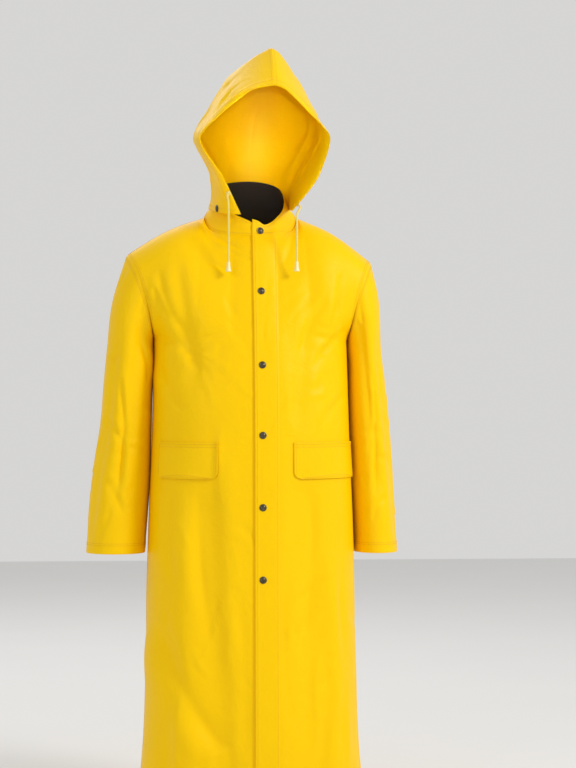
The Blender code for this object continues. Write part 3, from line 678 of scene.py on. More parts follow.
# ---- sewing ------------------------------------------------------------------------
@dataclass
class Sewing:
    """Rows of stitches, gathered into one piece for each part of the coat."""

    length: float = 2.9 * MM
    pitch: float = 3.8 * MM
    radius: float = 0.33 * MM
    sides: int = 5
    rings: tuple[tuple[float, float], ...] = ((-0.5, 0.25), (-0.3, 1.0), (0.3, 1.0), (0.5, 0.25))

    def build(self, name: str, rows: list[tuple[np.ndarray, np.ndarray]]) -> None:
        """Sew rows of stitches as one piece.

        Args:
            name: The piece's name.
            rows: Lines, each as points and normals.
        """
        vertices, faces = [], []
        turns = np.arange(self.sides) * math.tau / self.sides
        for points, normals in rows:
            run = np.concatenate(([0.0], np.cumsum(np.linalg.norm(np.diff(points, axis=0), axis=1))))
            middles = np.arange(self.pitch, run[-1] - self.pitch / 2, self.pitch)
            if len(middles) == 0:
                continue
            place, before, after, out = (
                np.stack([np.interp(middles + shift, run, grid[:, axis]) for axis in range(3)], axis=1)
                for grid, shift in ((points, 0.0), (points, -self.length / 2), (points, self.length / 2),
                                    (normals, 0.0)))
            ahead, out = unit(after - before), unit(out)
            side = unit(np.cross(ahead, out))
            for k in range(len(middles)):
                start = len(vertices)
                for share, width in self.rings:
                    centre = (place[k] + ahead[k] * share * self.length
                              + out[k] * self.radius * (0.2 + 0.3 * width))
                    for turn in turns:
                        vertices.append(centre + self.radius * width
                                        * (side[k] * math.cos(turn) + out[k] * math.sin(turn)))
                for ring in range(len(self.rings) - 1):
                    low, high = start + ring * self.sides, start + (ring + 1) * self.sides
                    for n in range(self.sides):
                        m = (n + 1) % self.sides
                        faces.append((low + m, low + n, high + n, high + m))
                faces.append(tuple(range(start, start + self.sides)))
                top = start + (len(self.rings) - 1) * self.sides
                faces.append(tuple(reversed(range(top, top + self.sides))))
        dressed(name, mesh_of(name, np.array(vertices), faces), Finish.THREAD)


# ---- the form of the coat -------------------------------------------------------------
@dataclass(frozen=True)
class BodyForm:
    """The coat's body: level rings up to the armpits, then the yoke to the shoulders and neck."""

    # height, half width, front, back and side seam of each ring
    rings: tuple = (
        (-1.215, 0.236, -0.182, 0.124, -0.012), (-1.120, 0.228, -0.183, 0.113, -0.012),
        (-0.940, 0.222, -0.179, 0.113, -0.010), (-0.660, 0.216, -0.170, 0.114, -0.006),
        (-0.476, 0.209, -0.166, 0.107, 0.000), (-0.356, 0.206, -0.156, 0.122, 0.006),
        (-0.275, 0.2045, -0.143, 0.130, 0.012))
    roundness: float = 2.35
    row_height: float = 4 * MM
    yoke_rows: int = 10
    neck_width: float = 0.097
    neck_side_y: float = 0.010
    neck_front_y: float = -0.076
    neck_back_y: float = 0.072
    neck_line: tuple = ((-0.076, -0.054), (-0.032, -0.040), (0.010, -0.012), (0.038, 0.003), (0.072, 0.012))
    tips: tuple = ((0.257, 0.012, -0.107), (0.262, 0.012, -0.093))      # left, right
    shoulder_rise: float = 0.009
    chest_line: tuple = ((-0.143, -0.275), (-0.133, -0.235), (-0.116, -0.178), (-0.103, -0.128),
                         (-0.091, -0.084), (-0.076, -0.054))
    back_line: tuple = ((0.130, -0.275), (0.129, -0.215), (0.122, -0.158), (0.110, -0.100),
                        (0.095, -0.045), (0.072, 0.012))
    armhole_front: tuple = ((0.2045, 0.012, -0.275), (0.210, -0.048, -0.243), (0.224, -0.066, -0.182),
                            (0.245, -0.048, -0.124))
    armhole_back: tuple = ((0.2045, 0.012, -0.275), (0.211, 0.074, -0.240), (0.228, 0.090, -0.180),
                           (0.247, 0.070, -0.122))
    fullness: float = 0.5
    stud_line: float = 0.0145
    front_neck_steps: int = 3
    back_neck_steps: int = 5
    shoulder_steps: int = 7

    @property
    def lap_columns(self) -> tuple[float, ...]:
        """Columns of the left front from its edge over the lap."""
        return (self.stud_line - 0.016, self.stud_line, self.stud_line + 0.017, self.stud_line + 0.035)

    @property
    def underlap_columns(self) -> tuple[float, ...]:
        """Columns of the right front, measured to the right."""
        return (*(-x for x in reversed(self.lap_columns)), 0.046)

    def finer(self, columns: tuple[float, ...]) -> tuple[float, ...]:
        """The columns with others between them."""
        count = FINE * (len(columns) - 1)
        return tuple(np.interp(np.linspace(0, len(columns) - 1, count + 1), range(len(columns)), columns))

    def levels(self) -> np.ndarray:
        """Heights of the level rows."""
        low, high = self.rings[0][0], self.rings[-1][0]
        return np.linspace(low, high, round((high - low) / self.row_height) + 1)

    def ring_points(self, height: float, face: str, columns: tuple[float, ...], steps: int) -> np.ndarray:
        """Points of half a level ring: fixed columns near the centre, then `steps` to the side."""
        heights = [ring[0] for ring in self.rings]
        half_width, front, back, side = through(heights, [ring[1:] for ring in self.rings], [height])[0]
        reach = (front if face == "front" else back) - side
        power = 2 / self.roundness
        near = [math.copysign(math.asin((abs(x) / half_width) ** (1 / power)), x) for x in columns]
        angles = np.array(near + list(np.linspace(near[-1], math.pi / 2, steps + 1)[1:]))
        x = half_width * np.sign(angles) * np.abs(np.sin(angles)) ** power
        y = side + reach * np.abs(np.cos(angles)) ** power
        return np.stack((x, y, np.full(len(x), height)), axis=1)

    def neck_points(self, columns: tuple[float, ...], steps: int, end_y: float) -> np.ndarray:
        """Points of the neckline from near the centre to the shoulder seam."""
        near = [math.asin(x / self.neck_width) for x in columns]
        angles = np.array(near + list(np.linspace(near[-1], math.pi / 2, steps + 1)[1:]))
        return self.neck_at(angles, end_y)

    def neck_at(self, angles: np.ndarray, end_y: float) -> np.ndarray:
        """Points of the neckline by angle from the centre."""
        y = self.neck_side_y + (end_y - self.neck_side_y) * np.cos(angles)
        line = np.array(self.neck_line)
        return np.stack((self.neck_width * np.sin(angles), y, through(line[:, 0], line[:, 1], y)), axis=1)

    def armholes(self, side: int, count: int) -> tuple[np.ndarray, np.ndarray]:
        """The front and the back of an armhole, each from the armpit to the shoulder's tip."""
        loop = evenly([*self.armhole_front, self.tips[side == RIGHT], *reversed(self.armhole_back)],
                      2 * count)
        return loop[:count + 1], loop[:count - 1:-1]

    def half_panel(self, face: str, side: int, columns: tuple[float, ...]) -> np.ndarray:
        """Half a front or back, drawn on the +X side, from the hem to the neck and shoulder."""
        neck_steps = FINE * (self.front_neck_steps if face == "front" else self.back_neck_steps)
        shoulder = FINE * self.shoulder_steps
        steps, count = neck_steps + shoulder, FINE * self.yoke_rows
        line, end_y = ((self.chest_line, self.neck_front_y) if face == "front"
                       else (self.back_line, self.neck_back_y))
        rows = [self.ring_points(height, face, columns, steps) for height in self.levels()]
        neck = self.neck_points(columns, neck_steps, end_y)
        share = np.linspace(0, 1, shoulder + 1)[1:, None]
        seam = neck[-1] + (np.array(self.tips[side == RIGHT]) - neck[-1]) * share
        seam[:, 2] += self.shoulder_rise * np.sin(math.pi * share[:, 0])
        bottom, top = rows[-1], np.concatenate((neck, seam))
        centre = evenly([(0.0, y, z) for y, z in line], count)
        arm = self.armholes(side, count)[0 if face == "front" else 1]
        out = np.array([0.0] * (len(columns) - 1) + list(np.linspace(0, 1, steps + 1)))[:, None]
        for row in range(1, count + 1):
            rise = row / count
            turn = rise * math.pi / 2
            fuller = (1 - math.cos(turn) - rise, 1 - math.cos(turn) - rise, math.sin(turn) - rise)
            bows = [line[row] - (1 - rise) * line[0] - rise * line[-1] for line in (centre, arm)]
            rows.append((1 - rise) * bottom + rise * top
                        + self.fullness * np.sin(math.pi * out) * (top - bottom) * fuller
                        + (1 - out) * bows[0] + out * bows[1])
        return np.array(rows)


FORM = BodyForm()


# ---- body ------------------------------------------------------------------------------
FRONT_CREASES = tuple(Crease(*row) for row in (
    (-0.155, -0.150, -0.130, -0.330, 0.016, 0.007),
    (-0.100, -0.640, -0.060, -1.215, 0.034, 0.009),
    (-0.150, -0.700, -0.140, -1.215, 0.026, -0.006),
    (0.105, -0.620, 0.120, -1.215, 0.030, 0.008),
    (0.165, -0.760, 0.175, -1.215, 0.024, -0.005),
    (0.120, -0.180, 0.090, -0.400, 0.020, 0.005),
    (-0.060, -0.560, -0.050, -0.900, 0.022, -0.004),
))
BACK_CREASES = tuple(Crease(*row) for row in (
    (-0.120, -0.150, -0.060, -0.420, 0.024, 0.007),
    (0.130, -0.170, 0.050, -0.450, 0.024, 0.007),
    (-0.080, -0.600, -0.100, -1.215, 0.034, 0.010),
    (0.070, -0.560, 0.110, -1.215, 0.032, 0.009),
    (0.000, -0.700, 0.010, -1.215, 0.030, -0.007),
))
# Creases of each front, by X and height
RIGHT_FRONT_FOLDS = (*laid(
    (-0.196, -0.128, -0.150, -0.255, 9, 2.8, 0.008),
    (-0.160, -0.235, -0.112, -0.365, 10, 2.4, -0.008),
    (-0.208, -0.160, -0.176, -0.230, 6, 2.4, 0.004),
    (-0.106, -0.016, -0.094, -0.062, 5, 2.2, 0.003),
    (-0.092, -0.020, -0.078, -0.056, 5, 1.6, 0.002),
    (-0.086, -0.050, -0.004, -0.094, 5, 2.2, 0.003),
    (-0.060, -0.084, -0.004, -0.106, 5, 1.6, 0.002),
    (-0.104, -0.108, -0.032, -0.146, 7, 2.2, -0.004),
    (-0.202, -0.260, -0.128, -0.300, 8, 2.4, 0.004),
    (-0.195, -0.320, -0.150, -0.420, 9, 2.4, 0.006),
    (-0.172, -0.585, -0.165, -0.780, 12, 2.8, 0.008),
    (-0.072, -0.450, -0.070, -0.610, 9, -1.8, 0.004),
    (-0.118, -0.590, -0.092, -0.900, 13, 3.0, 0.010),
    (-0.196, -0.860, -0.070, -1.120, 24, 7.5, 0.014),
    (-0.040, -0.780, -0.022, -1.130, 14, 2.6, -0.008),
    (-0.150, -1.000, -0.160, -1.205, 12, -2.4, 0.004),
    (-0.060, -0.180, -0.016, -0.260, 8, 1.4, 0.004)),
    Spread(11, 12, (-0.200, -0.420), (-0.020, -0.130), -52, 24),
    Spread(12, 12, (-0.205, -1.150), (-0.030, -0.620), -80, 16, 0.10),
    Spread(13, 6, (-0.190, -0.330), (-0.110, -0.270), 8, 18, 0.05),
)
LEFT_FRONT_FOLDS = (*laid(
    (0.186, -0.134, 0.158, -0.262, 9, 3.2, -0.006),
    (0.196, -0.250, 0.120, -0.335, 9, 2.8, 0.005),
    (0.084, -0.052, 0.060, -0.118, 7, 1.6, -0.004),
    (0.150, -0.190, 0.098, -0.300, 10, 2.6, 0.006),
    (0.200, -0.380, 0.140, -0.452, 9, 2.2, 0.004),
    (0.070, -0.330, 0.074, -0.470, 10, -1.6, 0.004),
    (0.118, -0.590, 0.104, -0.880, 13, 3.0, -0.010),
    (0.182, -0.640, 0.190, -0.960, 12, 2.8, 0.008),
    (0.064, -0.700, 0.070, -1.060, 14, 2.4, 0.010),
    (0.150, -0.920, 0.132, -1.200, 14, 3.4, -0.008),
    (0.196, -0.980, 0.200, -1.200, 10, -2.2, 0.004)),
    Spread(21, 12, (0.070, -0.420), (0.200, -0.130), -128, 24),
    Spread(22, 12, (0.060, -1.150), (0.205, -0.620), -98, 16, 0.10),
    Spread(23, 6, (0.110, -0.330), (0.190, -0.270), 172, 18, 0.05),
)
BACK_FOLDS = (*laid(
    (-0.200, -0.240, -0.100, -0.330, 10, 4.8, 0.006),
    (0.200, -0.250, 0.094, -0.350, 10, 4.8, -0.006),
    (-0.150, -0.150, -0.090, -0.290, 11, 4.2, 0.006),
    (0.160, -0.160, 0.104, -0.300, 11, 4.2, -0.006),
    (-0.070, -0.060, 0.066, -0.074, 9, 2.0, -0.008),
    (-0.110, -0.380, 0.090, -0.420, 14, 4.2, -0.014),
    (-0.150, -0.470, 0.030, -0.452, 12, 2.4, 0.010),
    (-0.160, -0.560, -0.180, -0.930, 15, 4.8, 0.010),
    (0.170, -0.540, 0.184, -0.960, 15, 4.8, -0.010),
    (-0.040, -0.480, -0.030, -0.860, 15, 4.2, 0.010),
    (0.040, -0.620, 0.050, -1.160, 16, 4.2, -0.010),
    (-0.140, -0.900, -0.150, -1.205, 15, 4.8, 0.008),
    (0.140, -0.880, 0.150, -1.205, 15, -3.8, 0.008)),
    Spread(31, 18, (-0.190, -0.440), (0.190, -0.100), -70, 32),
    Spread(32, 20, (-0.200, -1.150), (0.200, -0.560), -88, 15, 0.11),
)
FLY_FOLDS = (Spread(41, 9, (-0.002, -1.15), (0.030, -0.10), 80, 20, 0.06, 0.6 * MM),)


@dataclass
class Body:
    """The back, both fronts and the fly that covers their lap."""

    hem: float = 25 * MM
    fly_turn: float = 6 * MM
    far_edge: float = 1.5 * MM              # how far the fly's sewn edge sinks
    pieces: dict[str, ClothPiece] = field(default_factory=dict)

    def front_form(self, side: int) -> np.ndarray:
        """The plain form of one front, from its edge to the side."""
        columns = FORM.finer(FORM.lap_columns if side == LEFT else FORM.underlap_columns)
        points = FORM.half_panel("front", side, columns)
        return points if side == LEFT else mirrored(points)

    def front(self, side: int) -> ClothPiece:
        """One front, the left lapped over the right."""
        form = self.front_form(side)
        lapped = FINE * (len(FORM.lap_columns) - 1)
        level = 1 - smooth(np.arange(form.shape[1]), lapped, lapped + FINE) if side == LEFT else 0.0
        rows, columns = lines(form.shape[0]), lines(form.shape[1])
        if side == LEFT:
            level = np.interp(columns, np.arange(form.shape[1]), level)
        name = f"front_{SIDE_NAMES[side]}"
        return ClothPiece(
            name + "_panel", resampled(form, rows, columns), (name,), sewn=(LAST_ROW, LAST_COLUMN),
            turned={FIRST_ROW: self.hem, FIRST_COLUMN: self.fly_turn}, lift=LAYER * level, seam_dip=0.6 * MM,
            inside=HEM_INSIDE,
            folds=LEFT_FRONT_FOLDS if side == LEFT else RIGHT_FRONT_FOLDS, creases=FRONT_CREASES)

    def back(self) -> ClothPiece:
        """The back, from side seam to side seam."""
        left, right = (FORM.half_panel("back", side, (0.0,)) for side in (LEFT, RIGHT))
        form = np.concatenate((mirrored(right)[:, :0:-1], left), axis=1)
        return ClothPiece(
            "back_panel", resampled(form, lines(form.shape[0]), lines(form.shape[1])), ("back",),
            sewn=(LAST_ROW, FIRST_COLUMN, LAST_COLUMN), turned={FIRST_ROW: self.hem}, inside=HEM_INSIDE,
            folds=BACK_FOLDS, creases=BACK_CREASES)

    def fly(self) -> ClothPiece:
        """The strip that covers the lap."""
        form = self.front_form(LEFT)[:, :FINE * (len(FORM.lap_columns) - 1) + 1]
        columns = lines(form.shape[1])
        sunk = self.far_edge * smooth(columns, columns[-1] - FINE / 3, columns[-1])
        return ClothPiece(
            "fly_strip", resampled(form, lines(form.shape[0]), columns), ("fly_placket",),
            turned={FIRST_COLUMN: self.fly_turn, FIRST_ROW: self.fly_turn}, lift=2 * LAYER - sunk,
            folds=FLY_FOLDS, creases=FRONT_CREASES)

    def build(self) -> None:
        """Build the panels."""
        for piece in (self.back(), self.front(LEFT), self.front(RIGHT), self.fly()):
            piece.build()
            self.pieces[piece.name] = piece

    def stitching(self) -> dict[str, list]:
        """The rows of stitches of each part, by name."""
        near, far = SEAM_STITCHES
        fly, back = self.pieces["fly_strip"], self.pieces["back_panel"]
        sewn = {"fly_stitching": [fly.beside(FIRST_COLUMN, near), fly.beside(LAST_COLUMN, near)],
                "back_stitching": [*back.hemmed(FIRST_ROW, self.hem),
                                   back.beside(FIRST_COLUMN, near, 0, 0.8),
                                   back.beside(LAST_COLUMN, near, 0, 0.8),
                                   back.beside(LAST_ROW, near)]}
        for word in SIDE_NAMES.values():
            panel = self.pieces[f"front_{word}_panel"]
            sewn[f"front_{word}_stitching"] = [
                *panel.hemmed(FIRST_ROW, self.hem),
                panel.beside(LAST_ROW, near, 0.35), panel.beside(LAST_ROW, far, 0.6),
                panel.beside(LAST_COLUMN, near, 0.8), panel.beside(LAST_COLUMN, far, 0.8)]
        return sewn


# ---- sleeves --------------------------------------------------------------------------
@dataclass(frozen=True)
class SleeveRing:
    """One ring of a sleeve, tilted from level by an angle in degrees."""

    x: float
    y: float
    z: float
    half_width: float
    half_depth: float
    tilt: float


def round_sleeve(*rows: tuple[float, ...]) -> tuple[Fold, ...]:
    """Creases on a sleeve, from rows as for `laid` but placed by degrees from the armpit by the front."""
    metre = Sleeve.girth / 360
    return laid(*((start * metre, height, end * metre, *rest) for start, height, end, *rest in rows))


@dataclass
class Sleeve:
    """One sleeve: rings from its cap to its cuff, joined to the armhole."""

    side: int
    rings: tuple[SleeveRing, ...]
    folds: tuple = ()
    cuff: float = 25 * MM
    row_split: int = 16         # grid rows from one ring to the next
    girth = 0.42
    creases = (
        Crease(70, -0.270, 100, -0.560, 16, 0.006), Crease(130, -0.330, 150, -0.640, 14, 0.005),
        Crease(250, -0.230, 300, -0.420, 18, 0.006), Crease(215, -0.400, 230, -0.680, 15, 0.005),
    )

    def form(self) -> np.ndarray:
        """The sleeve's plain form: rows from the armhole to the cuff, columns round it."""
        half = FINE * FORM.yoke_rows
        front, back = FORM.armholes(self.side, half)
        loops = [np.concatenate((front, back[-2:0:-1]))]
        turn = np.arange(2 * half) * math.pi / half
        for ring in self.rings:
            tilt = math.radians(ring.tilt)
            loops.append(np.stack((ring.x - ring.half_width * np.cos(turn) * math.cos(tilt),
                                   ring.y - ring.half_depth * np.sin(turn),
                                   ring.z - ring.half_width * np.cos(turn) * math.sin(tilt)), axis=1))
        points = evenly(loops, self.row_split * (len(loops) - 1))
        return points if self.side == LEFT else mirrored(points)

    def build(self) -> list:
        """Build the sleeve and give its rows of stitches."""
        form = self.form()
        points = resampled(form, lines(form.shape[0]), np.arange(form.shape[1]), wrap=True)
        metres = np.arange(form.shape[1]) / form.shape[1] * self.girth
        name = f"sleeve_{SIDE_NAMES[self.side]}"
        piece = ClothPiece(name + "_panel", points, (name,), wrap=True, sewn=(FIRST_ROW,),
                           turned={LAST_ROW: self.cuff}, inside=HEM_INSIDE, folds=self.folds,
                           creases=self.creases, across=np.broadcast_to(metres, points.shape[:2]))
        piece.build()
        return [*(piece.beside(FIRST_ROW, inset) for inset in SEAM_STITCHES),
                *piece.hemmed(LAST_ROW, self.cuff)]


RIGHT_SLEEVE = Sleeve(RIGHT, rings=tuple(SleeveRing(*row) for row in (
    (0.2485, 0.014, -0.2405, 0.0645, 0.079, 47),
    (0.2530, 0.015, -0.305, 0.0530, 0.079, 18),
    (0.2590, 0.017, -0.376, 0.0525, 0.080, 7),
    (0.2634, 0.018, -0.456, 0.0546, 0.081, 2),
    (0.2725, 0.017, -0.560, 0.0610, 0.080, 0),
    (0.2795, 0.013, -0.640, 0.0625, 0.076, 0),
    (0.2850, 0.009, -0.720, 0.0615, 0.072, 0))),
    folds=(*round_sleeve(
        (150, -0.100, 168, -0.178, 8, 2.8), (96, -0.150, 84, -0.225, 8, 2.4),
        (138, -0.128, 66, -0.218, 6, 3.2, 0.006), (112, -0.350, 96, -0.590, 9, 4.4, 0.008),
        (160, -0.315, 118, -0.310, 6, 2.2), (84, -0.494, 40, -0.500, 6, 2.4),
        (150, -0.430, 92, -0.500, 8, 2.4, 0.006), (66, -0.270, 40, -0.360, 9, 3.0, 0.004),
        (130, -0.560, 80, -0.640, 9, 2.4, 0.006), (300, -0.300, 240, -0.360, 9, 4.4, 0.008),
        (230, -0.240, 250, -0.420, 10, 4.4, 0.010), (290, -0.450, 220, -0.520, 9, 2.8, 0.008),
        (310, -0.560, 236, -0.600, 8, 2.6, 0.006), (190, -0.420, 200, -0.660, 10, 2.4, 0.006)),
        Spread(51, 16, (0.05, -0.66), (0.37, -0.24), -70, 40, 0.06),
        Spread(52, 8, (0.04, -0.52), (0.36, -0.44), 6, 16, 0.05, 1.4 * MM)))
LEFT_SLEEVE = Sleeve(LEFT, rings=tuple(SleeveRing(*row) for row in (
    (0.2395, 0.014, -0.2400, 0.0640, 0.079, 57),
    (0.2433, 0.017, -0.306, 0.0397, 0.081, 25),
    (0.2482, 0.020, -0.377, 0.0418, 0.084, 10),
    (0.2527, 0.022, -0.456, 0.0438, 0.086, 3),
    (0.2580, 0.021, -0.560, 0.0465, 0.085, 0),
    (0.2630, 0.016, -0.640, 0.0465, 0.081, 0),
    (0.2670, 0.011, -0.720, 0.0460, 0.077, 0))),
    folds=(*round_sleeve(
        (150, -0.115, 166, -0.190, 8, 2.6), (92, -0.160, 80, -0.240, 8, 2.4),
        (132, -0.140, 66, -0.226, 6, 2.8, 0.006), (104, -0.340, 88, -0.600, 9, 3.0, -0.006),
        (150, -0.522, 96, -0.520, 6, 2.2), (140, -0.430, 84, -0.480, 8, 2.4, 0.006),
        (120, -0.600, 76, -0.650, 9, 2.2, 0.006), (300, -0.310, 236, -0.370, 9, 4.4, 0.008),
        (228, -0.240, 246, -0.430, 10, 4.4, -0.010), (286, -0.460, 220, -0.510, 9, 2.8, 0.008),
        (306, -0.570, 238, -0.620, 8, 2.6, 0.006), (186, -0.380, 196, -0.650, 10, 2.4, 0.006)),
        Spread(61, 16, (0.05, -0.66), (0.37, -0.24), -70, 40, 0.06),
        Spread(62, 8, (0.04, -0.50), (0.36, -0.42), 6, 16, 0.05, 1.4 * MM)))


# ---- collar -----------------------------------------------------------------------------
@dataclass
class Collar:
    """The stand collar, whose ends lap at the front, and the lining inside the neck, drawn near-black as
    painted shade.
    """

    heights: dict = field(default_factory=lambda: {
        LEFT: ((-0.002, 0.034), (0.014, 0.030), (0.031, 0.021), (0.050, 0.024), (0.075, 0.035),
               (0.097, 0.041)),
        RIGHT: ((-0.046, 0.019), (-0.014, 0.022), (0.015, 0.032), (0.050, 0.041), (0.075, 0.046),
                (0.097, 0.051))})
    back_height: float = 0.058
    lean: tuple = ((0.0, 1.0, 1.0), (0.38, 0.84, 0.965), (1.0, 0.75, 0.92))     # height, width, depth
    rows: int = 16
    # how far the near-black lining, painted shade, hangs below the neckline into the coat's hollow
    facing_drop: float = 0.040
    edge_turn: float = 6 * MM
    piece: ClothPiece | None = None

    def form(self) -> np.ndarray:
        """The collar's plain form, from its right end round the back to its left end."""
        back = FORM.neck_points((0.0,), FINE * FORM.back_neck_steps, FORM.neck_back_y)
        left, right = (np.concatenate((FORM.neck_points(FORM.finer(columns), FINE * FORM.front_neck_steps,
                                                        FORM.neck_front_y), back[-2::-1]))
                       for columns in (FORM.lap_columns, FORM.underlap_columns))
        seam = np.concatenate((mirrored(right), left[-2::-1]))
        ends = np.where(np.arange(len(seam)) < len(right) - 1, RIGHT, LEFT)
        height = np.empty(len(seam))
        for side, table in self.heights.items():
            places, values = np.array(table).T
            mine = ends == side
            height[mine] = through(places, values, np.clip(side * seam[mine, 0], places[0], places[-1]))
        behind = np.clip((seam[:, 1] - FORM.neck_side_y) / (FORM.neck_back_y - FORM.neck_side_y), 0, 1)
        side_height = np.where(seam[:, 0] < 0, self.heights[RIGHT][-1][1], self.heights[LEFT][-1][1])
        height = np.where(behind > 0, side_height + (self.back_height - side_height) * behind, height)
        lean = np.array(self.lean)
        steps = np.linspace(0, 1, self.rows + 1)
        scales = through(lean[:, 0], lean[:, 1:], steps, 0.7)
        return np.array([seam * (width, depth, 1.0) + np.outer(height * step, (0, 0, 1))
                         for step, (width, depth) in zip(steps, scales)])

    def outside(self, share: float, height: float, step: float) -> np.ndarray:
        """The point just outside the collar's back at a height; `share` runs from the shoulder seam."""
        seam = FORM.neck_at(np.array([(1 - share) * math.pi / 2]), FORM.neck_back_y)[0]
        behind = (seam[1] - FORM.neck_side_y) / (FORM.neck_back_y - FORM.neck_side_y)
        side_height = self.heights[LEFT][-1][1]
        tall = side_height + (self.back_height - side_height) * max(behind, 0.0)
        levels, widths, depths = np.array(self.lean).T
        place = np.clip((height - seam[2]) / tall, 0, 1)
        x, y = seam[0] * np.interp(place, levels, widths), seam[1] * np.interp(place, levels, depths)
        away = unit(np.array([x / FORM.neck_width ** 2, (y - FORM.neck_side_y) / FORM.neck_back_y ** 2]))
        return np.array([x + away[0] * step, y + away[1] * step, height])

    def build(self) -> list:
        """Build the collar and its lining, and give the collar's rows of stitches."""
        form = self.form()
        lap = FINE * (len(FORM.lap_columns) - 1)
        places = lines(form.shape[1])
        end = form.shape[1] - 1
        level = np.interp(places, [0, end - lap - FINE, end - lap, end], [0.0, 0.0, 1.0, 1.0])
        run = np.concatenate(([0.0], np.cumsum(np.linalg.norm(np.diff(form[0], axis=0), axis=1))))
        points = resampled(form, lines(form.shape[0]), places)
        across = np.broadcast_to(np.interp(places, np.arange(len(run)), run), points.shape[:2])
        upright = Spread(71, 22, (0.03, -0.06), (run[-1] - 0.09, 0.03), 88, 14, 0.035, 1.0 * MM)
        self.piece = ClothPiece("collar_stand", points, ("collar",), sewn=(FIRST_ROW,), seam_dip=0.3 * MM,
                                lift=LAYER * level,
                                turned=dict.fromkeys((LAST_ROW, FIRST_COLUMN, LAST_COLUMN), self.edge_turn),
                                folds=(upright,), across=across)
        normals = self.piece.normals()
        self.piece.build()
        # The lining and the strip it hangs into the coat's hollow are near-black painted shade for the deep
        # shade inside the neck.
        under = int(np.searchsorted(places, end - lap - FINE)) + 1
        neck, facing = points[:, :under], normals[:, :under]
        share = np.clip((neck[0, :, 1] - FORM.neck_front_y) / (FORM.neck_back_y - FORM.neck_front_y), 0.08, 1)
        drop = [neck[0] - np.outer(self.facing_drop * share * step, (0, 0, 1))
                for step in np.linspace(1, 0.1, 10)]
        level_normals = [unit(facing[0] * (1, 1, 0))] * len(drop)
        lining = ClothPiece("neck_lining", np.array([*drop, *neck]), ("collar_lining",), Finish.LINING,
                            lift=-LAYER, thickness=1.0 * MM, base_normals=np.array([*level_normals, *facing]))
        lining.build()
        return [self.piece.beside(LAST_ROW, 5 * MM), self.piece.beside(FIRST_ROW, 4 * MM)]


# ---- hood ---------------------------------------------------------------------------------
@dataclass(frozen=True)
class HoodRow:
    """One section of a hood half: its front edge, its side and its back seam."""

    lean: float
    edge_x: float
    edge_y: float
    edge_z: float
    side_x: float
    side_y: float
    side_z: float
    back_y: float
    back_z: float


